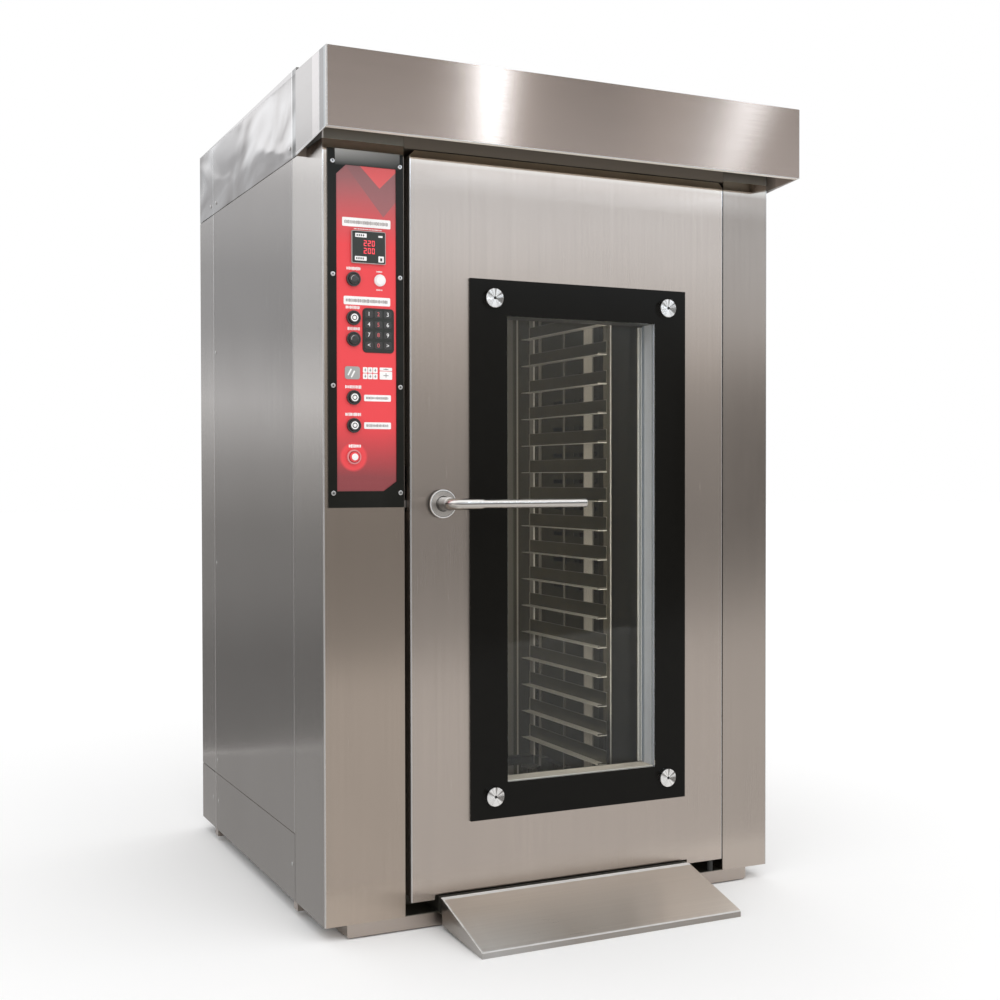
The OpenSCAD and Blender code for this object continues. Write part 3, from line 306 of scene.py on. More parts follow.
def plain_metal(name, tint, rough, speckle=0.05, metal=1.0, turned_rays_and_reflection=False, others=(),
                solids=""):
    """Turned or folded metal; for turned metal, the rays and rings of a lathe, looking forward,
    with a painted reflection in the dark sectors of the rays.
    """
    material, tree, shader = new_material(name, solids)
    cloud = noise(place(tree), 14.0, 4.0, 0.6)
    dots = noise(place(tree), 420.0, 2.0, 0.5)
    shade = blend(spread(cloud), times(tint, 1 - speckle), times(tint, 1 + speckle))
    coords = split_places(tree)
    for planes, other in others:
        there = where(coords, planes)
        shade = blend(there, shade, other)
        metal = dulled(metal, there)
    if turned_rays_and_reflection:
        # rays of the turned face about the nearest of the four caps: partly the radial grain,
        # partly a painted reflection in dark sectors
        turn = maths("ARCTAN2", fold(coords["z"], CAP_Z, CAP_STEP_Z),
                     fold(coords["x"], CAP_X, CAP_STEP_X))
        circle = node(tree, "CombineXYZ", {"X": maths("COSINE", turn), "Y": maths("SINE", turn)})
        rays = noise(circle, 1.4, 1.0, 0.5)
        shade = blend(spread(rays, 0.0, 1.0, 0.5, 0.62), shade, (0.3, 0.29, 0.28), "MULTIPLY")
        fill(shader, Anisotropic=1.0,
             Tangent=node(tree, "Tangent", {}, direction_type="RADIAL", axis="Y"))
    fill(shader, Base_Color=shade, Roughness=spread(dots, rough * 0.85, rough * 1.2),
         Normal=bumps(dots, 0.00003, 0.3), Metallic=metal)
    return material


def moulded(name, tint, rough, grain=0.00004, solids="", **more):
    """Plastic, rubber or paint with a fine skin; more are inputs of its shader."""
    material, tree, shader = new_material(name, solids)
    cloud = noise(place(tree), 30.0, 4.0, 0.6)
    skin = noise(place(tree), 1400.0, 2.0, 0.5)
    shade = blend(spread(cloud), times(tint, 0.93), times(tint, 1.06))
    fill(shader, Base_Color=shade, Roughness=spread(cloud, rough * 0.9, rough * 1.12),
         Normal=bumps(skin, grain, 0.5), **more)
    return material


def wool(name, solids):
    """Mineral wool in the walls."""
    material, tree, shader = new_material(name, solids)
    fibres = noise(place(tree, (60, 60, 400)), 1.0, 5.0, 0.7, 1.5)
    fill(shader, Roughness=0.95, Normal=bumps(fibres, 0.002),
         Base_Color=ramp(fibres, [(0.25, (0.35, 0.3, 0.16)), (0.75, (0.66, 0.6, 0.38))]))
    return material


def clear_glass(name, tint, solids):
    """Glass pane that lets lamps through."""
    material, tree, shader = new_material(name, solids)
    smear = noise(place(tree), 5.0, 4.0, 0.6, 0.5)
    fill(shader, Transmission_Weight=1.0, IOR=1.25, Base_Color=tint,
         Roughness=spread(smear, 0.0, 0.004))
    shadow = node(tree, "LightPath", {}, "Is Shadow Ray")
    clear = node(tree, "BsdfTransparent", {"Color": tint})
    mix = node(tree, "MixShader", {0: shadow, 1: Wire(tree, shader.outputs["BSDF"]), 2: clear})
    plug(tree.nodes["Material Output"].inputs["Surface"], mix)
    return material


def tube_with_painted_reflection(name, level, radius, solids):
    """A polished level tube with its reflection painted in bands by height: light from above on
    its back, a thin dark line along its middle, and the darker room below."""
    material, tree, shader = new_material(name, solids)
    flow = noise(place(tree, (3, 160, 160)), 1.0, 3.0, 0.6)
    height = split_places(tree)["z"] - level + spread(flow, -0.0004, 0.0004)
    tones = [(0.0, (0.2, 0.18, 0.16)), (0.16, (0.5, 0.46, 0.42)), (0.4, (0.66, 0.62, 0.58)),
             (0.49, (0.6, 0.56, 0.52)), (0.55, (0.05, 0.045, 0.04)), (0.61, (0.8, 0.77, 0.74)),
             (0.8, (1.0, 0.98, 0.96)), (0.93, (0.6, 0.57, 0.54)), (1.0, (0.3, 0.27, 0.25))]
    fill(shader, Metallic=1.0, Roughness=spread(flow, 0.18, 0.26),
         Normal=bumps(flow, 0.00003, 0.3),
         Base_Color=ramp(spread(height, 0.0, 1.0, -radius, radius), tones, smooth=False))
    return material


def printed_film(name, solids):
    """The panel's red film: full red in the middle, plum towards the top, deep red towards
    the bottom, two wedges that hang from the top edge, and a red round behind the lowest
    key."""
    material, tree, shader = new_material(name, solids)
    coords = split_places(tree)
    red, plum, deep = (0.79, 0.045, 0.055), (0.33, 0.115, 0.12), (0.23, 0.035, 0.04)
    height = coords["z"] + spread(noise(place(tree), 16.0, 4.0, 0.6), -0.004, 0.004)
    upper = spread(height, 0.0, 1.0, 1.565, 1.715)
    lower = spread(height, 1.0, 0.0, 1.045, 1.17)
    shade = blend(lower, blend(upper, red, plum), deep)
    # the wedges: their tips, slopes, colours and strengths
    for tip_x, tip_z, slope, colour, strength in (
            (-0.457, 1.63, 1.22, (0.27, 0.12, 0.125), 0.8),
            (-0.466, 1.694, 1.0, (0.78, 0.1, 0.105), 1.0)):
        side = maths("ABSOLUTE", coords["x"] - tip_x)
        rise = coords["z"] - tip_z - side * slope
        shade = blend(spread(rise, 0.0, strength, -0.0004, 0.0006), shade, colour)
    across, along = coords["x"] - KEY_X * MM, coords["z"] - KEYS["stop"] * MM
    reach = maths("SQRT", across * across + along * along)
    shade = blend(spread(reach, 1.0, 0.0, 0.028, 0.034), shade, red)
    # a fine raster where the colours run into each other
    dots = node(tree, "TexVoronoi", {"Vector": place(tree, (380, 0, 380)), "Scale": 1.0,
                                     "Randomness": 0.15}, "Distance")
    raster = spread(dots, 0.5, 0.0, 0.22, 0.34) * maths("MAXIMUM", upper, lower)
    skin = noise(place(tree), 1200.0, 2.0, 0.5)
    fill(shader, Base_Color=blend(raster * 0.5, shade, (0.5, 0.16, 0.16)),
         Roughness=spread(skin, 0.34, 0.42), Normal=bumps(skin, 0.00002, 0.4))
    return material


def border_black(name, solids):
    """Gloss black plate; a painted reflection, a pale sheen, hangs in its top strip."""
    material, tree, shader = new_material(name, solids)
    coords = split_places(tree)
    left, right = -0.572, -0.418
    cloud = noise(place(tree), 9.0, 4.0, 0.6)
    # the painted reflection: lighter towards the top and to the left
    glow = (spread(coords["z"], 0.0, 1.0, 1.738, 1.772)
            * (past(coords, "x>", left) * past(coords, "x<", right))
            * spread(coords["x"], 0.75, 0.3, left, right))
    shade = blend(spread(cloud), (0.007, 0.007, 0.005), (0.011, 0.011, 0.009))
    fill(shader, Base_Color=blend(glow, shade, (0.62, 0.62, 0.6)),
         Roughness=spread(cloud, 0.16, 0.24), Normal=bumps(cloud, 0.0001, 0.2),
         Specular_IOR_Level=0.22)
    return material


def lit_figures(name):
    """Red display figures that glow a little, uneven along each bar."""
    material, tree, shader = new_material(name)
    cloud = noise(place(tree), 600.0, 2.0, 0.5)
    fill(shader, Base_Color=ramp(cloud, [(0.3, (0.8, 0.05, 0.07)), (0.7, (0.95, 0.1, 0.12))]),
         Emission_Color=(1.0, 0.06, 0.1), Emission_Strength=0.5, Roughness=0.4)
    return material


# ---------------------------------------------------------------- finishes of the solids

SIDE_FACE = [("x<", -0.598), ("y>", -0.451)]
POLISH = (1.7, 1.76)
# the side panels and rear corner posts: painted highlights along the edges beside their seams
brushed_steel(
    "side_steel", "left_side_panel right_side_panel left_kick_panel right_kick_panel",
    tint=(0.455, 0.427, 0.405), waves=0.0016, wave_size=1.7,
    edge_highlights=[[("y", -0.2272, 0.0013), ("z>", 0.196)]], seams=[[("y", -0.2287, 0.0007)]])
brushed_steel(
    "corner_steel", "rear_corner_posts", tint=(0.52, 0.49, 0.465), waves=0.0006,
    wave_size=1.7, edge_highlights=[[("y", 0.5372, 0.0024)]])
# the roof cover: painted highlights along two edges, and painted shade (the darker tint) on its
# front part under the hood
brushed_steel(
    "roof_steel", "roof_cover", tint=(0.4, 0.375, 0.36), rough=0.13, brush=0.0,
    waves=0.026, wave_size=4.2, flow=(1, 0.75, 1.7), calm=1.9875,
    edge_highlights=[[("y", 0.5385, 0.0018)], [("y", -0.2265, 0.0018)]],
    seams=[[("y", 0.5362, 0.001)], [("z", 1.7964, 0.0006)], [("y", -0.2405, 0.0009)]],
    others=[([("y<", -0.2285)], (0.2, 0.19, 0.18))], dull=[("y<", -0.262)])
# the left post: a painted highlight down its front corner; its side face painted in a cooler,
# lighter tone than the front, with a painted light band about 1.5 m up; painted shade above the
# hood's lower edge; a painted highlight band just below the top of the front face
brushed_steel(
    "post_steel", "left_front_post", tint=(0.46, 0.386, 0.325),
    edge_highlights=[[("x", -0.6, 0.0028), ("y", FACE, 0.0028)]],
    dull=[("z>", HOOD_LOW)], smooth=POLISH,
    others=[(SIDE_FACE, (0.47, 0.441, 0.417)),
            (SIDE_FACE + [("z", 1.5, -0.65)], (0.75, 0.63, 0.53)),
            ([("z>", HOOD_LOW)], (0.15, 0.13, 0.105)),
            ([("y<", BEHIND_FACE), ("z", 1.79, -0.03)], (0.7, 0.67, 0.61))])
# the right post: painted shade that darkens it towards the top, a painted highlight band just
# below the top, its side face painted in a lighter tone than the front, and painted shade above
# the hood's lower edge
brushed_steel(
    "right_post_steel", "right_front_post", tint=(0.465, 0.405, 0.357), brush=0.85,
    dull=[("z>", HOOD_LOW)], smooth=POLISH,
    others=[([("z", 1.8, -1.2)], (0.33, 0.287, 0.254)),
            ([("z", 1.79, -0.03)], (1.0, 0.95, 0.85)),
            ([("x>", 0.598)], (0.45, 0.43, 0.41)),
            ([("z>", HOOD_LOW)], (0.14, 0.12, 0.1))])
# the door: a painted highlight band just below its top edge, and painted highlights down both
# front corners
brushed_steel(
    "door_steel", "door_shell door_skirts", tint=(0.52, 0.452, 0.4), waves=0.0002,
    wave_size=1.1, smooth=POLISH, others=[([("z", 1.79, -0.03)], (0.78, 0.73, 0.65))],
    edge_highlights=[[("x", -0.392, 0.0026), ("y", FACE, 0.003)],
          [("x", 0.463, 0.0012), ("y", FACE, 0.003)]])
# the hood: painted highlights along its edges and corners; both cheeks painted in a lighter,
# cooler tone than the front, the left one with a darker strip by the front corner; painted shade
# deep inside the hood; the inner face of the front plate painted light, so that what reflects it
# looks light
brushed_steel(
    "hood_steel", "hood_shell", "level", rough=0.15, tint=(0.43, 0.347, 0.297),
    twist=(0.2, 1.883, 0.05),
    edge_highlights=[[("x", -CHEEK, 0.003), ("y", -0.557, 0.003)],
          [("x", -CHEEK, 0.001), ("y", -0.264, 0.0024)],
          [("x", -CHEEK, 0.001), ("y", -0.509, 0.0018)],
          [("y", -0.557, 0.001), ("z", HOOD_LOW, 0.0014)],
          [("x", -CHEEK, 0.001), ("cheek", 1.76, 0.0022)],
          [("x", CHEEK, 0.002), ("cheek", 1.76, 0.0022)]],
    seams=[[("x", -CHEEK, 0.001), ("y", -0.2675, 0.0008)]],
    dull=[("y>", -0.556), ("x>", -0.624), ("x<", 0.624), ("z<", 1.969)],
    others=[([("x<", -0.624), ("y>", -0.508)], (0.49, 0.453, 0.436)),
            ([("x<", -0.624), ("y<", -0.508), ("y>", -0.553)], (0.2, 0.188, 0.18)),
            ([("x>", 0.624)], (0.44, 0.42, 0.405)),
            ([("y>", -0.46), ("x", 0.0, 0.6)], (0.15, 0.125, 0.098)),
            ([("y>", -0.5563), ("y<", -0.54), ("x", 0.0, 0.61)], (0.9, 0.84, 0.74))])
# the ramp: painted shade, darker below the plane of its top; a painted highlight as a soft patch
# at the left front of the top; painted highlights along its edges
brushed_steel(
    "ramp_steel", "ramp", "depth", rough=0.3, brush=0.9, axis="X", tint=(0.74, 0.67, 0.6),
    others=[([("slope<", 0.1938)], (0.36, 0.33, 0.3)),
            ([("x", -0.29, -0.2), ("y", -0.68, -0.14)], (1.0, 0.96, 0.92))],
    edge_highlights=[[("y", -0.697, 0.0025), ("z", 0.015, 0.0025)],
          [("x", -0.3255, 0.003), ("slope", 0.1955, 0.002)], [("z", 0.072, 0.0016)]])
brushed_steel("rail_steel", "body_frame", "level", rough=0.3, brush=0.6)
brushed_steel("panel_metal", "rear_panel electrics_tray", tint=(0.4, 0.39, 0.38), rough=0.34)
# the rack's posts and the strips behind its runners, each in its own tone, with painted
# highlights along two post edges
RIGHT = ("x>", 0.3)
brushed_steel(
    "frame_post", "rack_frame", tint=(0.13, 0.122, 0.1), rough=0.28, brush=0.6, pale=True,
    others=[([RIGHT, ("y", -0.0115, 0.0265)], (0.95, 0.93, 0.9)),
            ([RIGHT, ("y", 0.134, 0.004)], (0.34, 0.33, 0.3)),
            ([RIGHT, ("y", 0.285, 0.008)], (0.42, 0.4, 0.37))],
    edge_highlights=[[("x", 0.3402, 0.0026), ("y", -0.098, 0.02)],
          [("x", 0.3195, 0.0026), ("y", 0.34, 0.02)]])
# the runners: darker left of x 0.3145; painted highlight lines along each ledge, brightest at the
# near ends, and one at the rear
plain_metal(
    "rack_steel", (0.24, 0.225, 0.185), 0.34, solids="rack_runners",
    others=[([("x<", 0.3145)], (0.1, 0.095, 0.08)),
            ([("step", 0.0107, 0.0012)], (0.9, 0.88, 0.84)),
            ([("step", 0.0478, 0.0006)], (0.5, 0.48, 0.44)),
            ([("step", 0.0107, 0.0016), ("y", -0.112, 0.006)], (1.0, 0.98, 0.95)),
            ([("y", 0.349, 0.003)], (0.62, 0.6, 0.55))])
# the chamber: a painted highlight line down the rear right corner, with a fainter painted light
# band beside it
plain_metal(
    "chamber_steel", (0.2, 0.19, 0.16), 0.45,
    solids="chamber_liner chamber_ceiling chamber_floor duct_wall platform",
    others=[([("x", 0.372, 0.0028), ("y", 0.547, 0.02)], (0.75, 0.72, 0.66)),
            ([("x", 0.345, 0.012), ("y", 0.547, 0.02)], (0.3, 0.29, 0.26))])
plain_metal("castor_steel", (0.5, 0.49, 0.47), 0.35,
            solids="fixed_castor_forks swivel_fork_left swivel_fork_right")
plain_metal("liner_steel", (0.2, 0.195, 0.18), 0.4, solids="door_liner")
plain_metal("machine_steel", (0.45, 0.44, 0.43), 0.35,
            solids="levelling_feet fan_impeller drive_shaft latch_arm")
plain_metal("heater_steel", (0.16, 0.12, 0.1), 0.5, 0.15, solids="heating_elements")
moulded("motor_paint", (0.05, 0.055, 0.065), 0.4, Coat_Weight=0.2,
        solids="fan_motor drive_gearmotor")
moulded("castor_tread", (0.03, 0.03, 0.03), 0.6,
        solids="wheel_front_left wheel_front_right wheel_rear_left wheel_rear_right")
moulded("seal_rubber", (0.025, 0.024, 0.023), 0.55, solids="door_gasket")
moulded("lamp_glass", (0.9, 0.82, 0.66), 0.35, solids="oven_lamp")
wool("mineral_wool", "insulation door_insulation")

# ---------------------------------------------------------------- finishes of the pieces
# Where a piece stands for a solid, the solid keeps a finish of the same kind. From here on
# sizes and places are millimetres: x from the middle, depth behind the front face, height.

MM = 0.001
FORWARD = Vector((0, -1, 0))
SHARP = math.radians(50)
# the round keys stand in one column, with their heights
KEY_X = -529.5
KEYS = {"start": 1487, "light": 1400.4, "steam": 1353, "fan": 1222.2, "damper": 1159.7,
        "stop": 1089}

# near-black steel as painted shade: for the hinge pivots in their recess, the hollow middles of
# the window caps and the cross recesses of the screws
painted_shade_steel = plain_metal("painted_shade_steel", (0.03, 0.03, 0.028), 0.7, metal=0.2, solids="hinge_pivots")
# the right reveal: pale blue-grey, with painted shade in bands near its front and rear edges
reveal_steel = plain_metal("reveal_steel", (0.8, 0.84, 0.94), 0.5, 0.03, metal=0.4,
                           others=[([("y", -0.4475, 0.0028)], (0.3, 0.33, 0.38)),
                                   ([("y", -0.4045, 0.005)], (0.3, 0.34, 0.4))])
# the lower reveal: a painted highlight along its front edge
sill_steel = brushed_steel("sill_steel", grain="level", tint=(0.62, 0.56, 0.49), rough=0.42,
                           brush=0.3, streak=0.12, edge_highlights=[[("y", -0.4505, 0.0012)]],
                           dull=[("z>", 0.3)])
# the pane channels near-white and barely metallic, so that they show as bright lines: a painted
# highlight
channel_steel = plain_metal("channel_steel", (0.95, 0.94, 0.92), 0.42, 0.02, metal=0.15)
polished = plain_metal("polished_steel", (0.68, 0.67, 0.66), 0.16, 0.02)
turned_steel = plain_metal("turned_steel", (0.97, 0.95, 0.93), 0.26, 0.03, turned_rays_and_reflection=True,
                           solids="glass_caps panel_screws")
handle_steel = tube_with_painted_reflection("handle_steel", 0.982, 0.0125, "handle_lever")
# the neck and sleeve: dark steel with a painted highlight along the top of the neck
neck_steel = plain_metal("neck_steel", (0.2, 0.185, 0.17), 0.3,
                         others=[([("z", 0.9965, -0.017)], (0.95, 0.93, 0.9))])
rose_steel = plain_metal("rose_steel", (0.62, 0.58, 0.54), 0.3, 0.04, solids="handle_rose")
# painted shade and a painted highlight for the rose
rose_painted_shade = plain_metal("rose_painted_shade", (0.05, 0.045, 0.04), 0.5, metal=0.3)
rose_painted_highlight = plain_metal("rose_painted_highlight", (0.97, 0.95, 0.93), 0.45, 0.02)
black_enamel = moulded("black_enamel", (0.0055, 0.005, 0.004), 0.1, solids="outer_glass",
                       Specular_IOR_Level=0.12)
window_glass = clear_glass("window_glass", (0.95, 0.96, 0.94), "inner_glass")
label_white = moulded("label_white", (0.86, 0.85, 0.84), 0.4, 0.00001)
mark_grey = moulded("mark_grey", (0.3, 0.26, 0.25), 0.6, 0.00001)
tile_grey = moulded("tile_grey", (0.34, 0.34, 0.33), 0.35)
gloss_black = moulded("gloss_black", (0.018, 0.017, 0.016), 0.13, 0.00001,
                      "display_module button_bezels start_button light_button steam_button "
                      "fan_button damper_button", Specular_IOR_Level=1.0)
display_glass = moulded("display_glass", (0.02, 0.023, 0.018), 0.2, 0.00001)
keypad_black = moulded("keypad_black", (0.02, 0.022, 0.018), 0.4, solids="keypad")
ring_grey = moulded("ring_grey", (0.38, 0.36, 0.35), 0.35)
ring_pink = moulded("ring_pink", (0.7, 0.24, 0.25), 0.35)
key_red = moulded("key_red", (0.78, 0.05, 0.06), 0.3, solids="stop_button")
figure_red = moulded("figure_red", (0.7, 0.12, 0.13), 0.45, 0.00001)
indicator_white = moulded("indicator_white", (0.88, 0.86, 0.85), 0.3, solids="indicator_lamp")
led_red = lit_figures("led_red")
printed_film("red_film", "panel_overlay")
border_black("black_border", "panel_frame")

# finish, body and slot of pieces that come often
WHITE_PRINT = (label_white, "cabinet", "indicator_white")
GREY_PRINT = (mark_grey, "cabinet", "button_black")
BLACK_PART = (gloss_black, "cabinet", "black_plastic")

# ---------------------------------------------------------------- piece helpers


def spot(x, depth, z):
    return Vector((x * MM, FRONT_Y + depth * MM, z * MM))


def level_y(depth):
    return spot(0, depth, 0).y


def settle(name):
    piece = bpy.context.object
    bpy.ops.object.transform_apply(location=True, rotation=True, scale=True)
    piece.name = piece.data.name = name
    return piece


def fresh_start():
    """Object mode with nothing selected."""
    if bpy.context.mode != "OBJECT":
        bpy.ops.object.mode_set(mode="OBJECT")
    bpy.ops.object.select_all(action="DESELECT")


def edit(piece):
    """Edit mode on a piece, unless it is on already."""
    if bpy.context.mode != "EDIT_MESH":
        bpy.ops.object.select_all(action="DESELECT")
        piece.select_set(True)
        bpy.context.view_layer.objects.active = piece
        bpy.ops.object.mode_set(mode="EDIT")


def block(name, low, high):
    fresh_start()
    low, high = spot(*low), spot(*high)
    bpy.ops.mesh.primitive_cube_add(size=1, location=(low + high) / 2, scale=high - low)
    return settle(name)


def disc(name, radius, front, back, x, z, sides=48):
    """A cylinder that looks forward, from depth front to depth back."""
    fresh_start()
    bpy.ops.mesh.primitive_cylinder_add(
        vertices=sides, radius=radius * MM, depth=(back - front) * MM,
        location=spot(x, (front + back) / 2, z), rotation=(math.pi / 2, 0, 0))
    return settle(name)


def pick(piece, kind, test):
    """Edit mode, with the faces, edges or points that pass the test selected."""
    edit(piece)
    bpy.ops.mesh.select_mode(type=kind)
    bpy.ops.mesh.select_all(action="DESELECT")
    mesh = bmesh.from_edit_mesh(piece.data)
    mesh.normal_update()
    for item in {"FACE": mesh.faces, "EDGE": mesh.edges, "VERT": mesh.verts}[kind]:
        if test(item):
            item.select_set(True)
    mesh.select_flush_mode()
    bmesh.update_edit_mesh(piece.data)


def pick_front(piece, depth=1000):
    """The faces that look forward and lie in front of a depth."""
    limit = level_y(depth)
    pick(piece, "FACE", lambda face: face.normal.dot(FORWARD) > 0.998
         and face.calc_center_median().y < limit)


def bevel(piece, width, steps=2, test=lambda edge: True):
    """The sharp edges that pass the test, rounded."""
    pick(piece, "EDGE", lambda edge: len(edge.link_faces) == 2
         and edge.calc_face_angle(0) > SHARP and test(edge))
    bpy.ops.mesh.bevel(offset=width * MM, segments=steps, affect="EDGES", profile=0.5)


def soften(piece, width, steps=2, depth=None):
    """The sharp edges of the front rim, or all in front of a depth, rounded."""
    edit(piece)
    front = min(v.co.y for v in bmesh.from_edit_mesh(piece.data).verts)
    limit = front + 0.05 * MM if depth is None else level_y(depth)
    bevel(piece, width, steps, lambda edge: all(v.co.y < limit for v in edge.verts))


def inset(*steps):
    """Insets one after the other, each a width and how far outward it goes."""
    for width, out in steps:
        bpy.ops.mesh.inset(thickness=width * MM, depth=out * MM)


def push(depth=0, x=0):
    """The picked faces drawn out to a depth behind where they are, or sideways."""
    bpy.ops.mesh.extrude_region_move(TRANSFORM_OT_translate={"value": (x * MM, depth * MM, 0)})


def finish(piece, material, body, slot, angle=35):
    """Normals out, smooth where it is not sharp, painted, and riding on its body."""
    edit(piece)
    bpy.ops.mesh.select_all(action="SELECT")
    bpy.ops.mesh.normals_make_consistent(inside=False)
    bpy.ops.object.mode_set(mode="OBJECT")
    bpy.ops.object.shade_smooth_by_angle(angle=math.radians(angle))
    weigh = piece.modifiers.new("weigh", "WEIGHTED_NORMAL")
    weigh.keep_sharp = True
    bpy.ops.object.modifier_apply(modifier=weigh.name)
    piece.data.materials.clear()
    for one in material if isinstance(material, list) else [material]:
        piece.data.materials.append(one)
    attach(piece, body)


def reach_of(face, x, z):
    """How far a face is from a place in the front view."""
    return math.hypot(face.center.x - x * MM, face.center.z - z * MM) / MM


def add(name, data):
    thing = bpy.data.objects.new(name, data)
    bpy.context.scene.collection.objects.link(thing)
    return thing


def again(piece, name, body, move):
    """A copy with its own mesh, moved."""
    other = piece.copy()
    other.data = piece.data.copy()
    other.name = other.data.name = name
    bpy.context.scene.collection.objects.link(other)
    other.data.transform(move)
    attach(other, body)
    return other


def shift(x=0, z=0):
    return Matrix.Translation((x * MM, 0, z * MM))


def joined(name, pieces):
    """Several fresh pieces made into one."""
    fresh_start()
    for piece in pieces:
        piece.select_set(True)
    bpy.context.view_layer.objects.active = pieces[0]
    bpy.ops.object.join()
    pieces[0].name = pieces[0].data.name = name
    return pieces[0]


def figures(name, words, size, x, depth, z, thick):
    """Plain numbers, made a mesh."""
    fresh_start()
    bpy.ops.object.text_add(location=spot(x, depth, z), rotation=(math.pi / 2, 0, 0))
    text = bpy.context.object
    text.data.body = words
    text.data.size = size * MM
    text.data.extrude = thick * MM / 2
    text.data.align_x = "CENTER"
    text.data.align_y = "CENTER"
    bpy.ops.object.convert(target="MESH")
    return settle(name)


def rounded_plate(name, low, high, corner, edge=0.0, sides=4):
    """A plate with rounded corners in the front view and a softened front rim."""
    plate = block(name, low, high)
    bevel(plate, corner, sides,
          lambda e: abs((e.verts[0].co - e.verts[1].co).normalized().y) > 0.9)
    if edge:
        soften(plate, edge)
    bpy.ops.object.mode_set(mode="OBJECT")
    return plate


# ---------------------------------------------------------------- window and handle


def build_window():
    """The outer glass: a black printed border with a clear field in it, on four caps."""
    border = block("glass_border", (-244, -6, 237), (348, 0, 1507))
    pick(border, "FACE", lambda face: True)
    for x, z, normal in ((-148, 0, (1, 0, 0)), (260, 0, (1, 0, 0)),
                         (0, 321, (0, 0, 1)), (0, 1423, (0, 0, 1))):
        bpy.ops.mesh.select_all(action="SELECT")
        bpy.ops.mesh.bisect(plane_co=spot(x, 0, z), plane_no=normal)
    middle = spot(56, 0, 872)
    pick(border, "FACE", lambda face: abs(face.normal.y) > 0.9
         and (face.calc_center_median() - middle).length < 0.05)
    bpy.ops.mesh.bridge_edge_loops()
    bevel(border, 0.8)
    finish(border, black_enamel, "door", "black_glass")
    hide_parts("outer_glass")

    pane = rounded_plate("window_pane", (-147.7, -5.6, 321.3), (259.7, -0.6, 1422.7), 1.0, 0.4)
    finish(pane, window_glass, "door", "clear_glass")
    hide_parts("outer_glass")

    x, z = CAP_X / MM, CAP_Z / MM
    first = disc("glass_cap_1", 22.5, -20, -6, x, z, 64)
    soften(first, 1.4, 3)
    pick_front(first)
    inset((17.6, -0.2), (0.3, -3.0), (1.2, 0), (0.3, -3.0))
    finish(first, [turned_steel, painted_shade_steel], "door", "polished_steel", 30)
    # the hollow middle of each cap takes the near-black steel as painted shade
    for face in first.data.polygons:
        face.material_index = int((face.center - spot(x, -20, z)).length < 0.0075
                                  and face.center.y > level_y(-19.2))
    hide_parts("glass_caps")
    for index, (right, up) in enumerate(((1, 0), (0, 1), (1, 1)), 2):
        move = shift(x=right * CAP_STEP_X / MM, z=up * CAP_STEP_Z / MM)
        cap = again(first, f"glass_cap_{index}", "door", move)
        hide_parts("glass_caps")


def build_reveal():
    """Bright linings between the two panes, and the channels that hold the inner pane."""
    for name, low, high, steel in (
            ("right_reveal", (257.4, 2, 321.6), (259.6, 54, 1422.4), reveal_steel),
            ("lower_reveal", (-147.4, 2, 321.4), (256.8, 54, 323.4), sill_steel)):
        lining = block(name, low, high)
        pick(lining, "FACE", lambda f: max(abs(c) for c in f.normal) > 0.99
             and f.calc_area() > 0.005)
        inset((3.0, -0.3))
        bevel(lining, 0.25, 1)
        finish(lining, steel, "door", "door_liner_steel")
    for name, x0, x1 in (("outer", 254.0, 256.8), ("inner", 247.4, 249.6)):
        rail = block(f"pane_rail_{name}", (x0, 54.0, 325), (x1, 62, 1419))
        pick_front(rail)
        inset((0.7, 0))
        push(-0.6)
        soften(rail, 0.25)
        finish(rail, channel_steel, "door", "door_liner_steel")


def build_handle():
    """A round rose and a bent tube lever, with a collar where the tube was joined, in a
    sleeve where it leaves the rose."""
    x, z = -316, 982
    radius, step_radius, rim = 33, 30.8, -13
    rose = disc("rose_cover", radius, -7.6, 0, x, z, 72)
    pick_front(rose)
    inset((radius - step_radius, 0))
    push(-1.6)
    bpy.ops.mesh.extrude_region_move()
    wider = radius / step_radius
    bpy.ops.transform.resize(value=(wider, 1, wider), center_override=spot(x, -9.2, z))
    push(-4.8)
    soften(rose, 1.2, 3)
    pick_front(rose, rim)
    inset((1.4, 0.25), (0.9, -0.9), (11.5, 0), (0.8, -1.0), (1.5, 0))
    finish(rose, [rose_steel, rose_painted_shade, rose_painted_highlight], "door", "polished_steel", 30)
    # the rose's side behind its step and the two grooves in its face take painted shade, the ring
    # at its rim a painted highlight
    for face in rose.data.polygons:
        reach = reach_of(face, x, z)
        if face.center.y > level_y(-9.15):
            face.material_index = 1
        elif face.center.y < level_y(-12) and abs(face.normal.y) > 0.5:
            face.material_index = (2 if 30.4 < reach < 32.6 else
                                   1 if 29.3 < reach < 30.4 or 15.4 < reach < 17.6 else 0)
    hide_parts("handle_rose")

    thick, thin, collar_wide = 13.2, 10.3, 6
    bend, collar, end = x + 30, -248, 26
    lever = disc("lever_tube", thick, -45, -8, x, z, 40)
    pick_front(lever)
    bpy.ops.mesh.spin(steps=16, angle=-math.pi / 2, center=spot(bend, -45, z), axis=(0, 0, 1))
    pick(lever, "FACE", lambda f: f.normal.x > 0.998
         and f.calc_center_median().x > bend * MM - 1e-5)
    push(x=collar - bend)
    push(x=collar_wide)
    bpy.ops.transform.resize(value=(1, thin / thick, thin / thick),
                             center_override=spot(collar + collar_wide, -75, z))
    push(x=end - collar - collar_wide)
    bevel(lever, 3.2, 5, lambda e: all(v.co.x > (end - 1) * MM for v in e.verts))
    finish(lever, [handle_steel, neck_steel], "handle", "handle_steel", 40)
    for face in lever.data.polygons:
        face.material_index = int(face.center.y > level_y(-46))
    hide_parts("handle_lever")

    sleeve = disc("lever_sleeve", 15.2, -52, -12.6, x, z, 48)
    soften(sleeve, 1.6, 3)
    finish(sleeve, neck_steel, "handle", "handle_steel", 40)
    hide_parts("handle_lever")


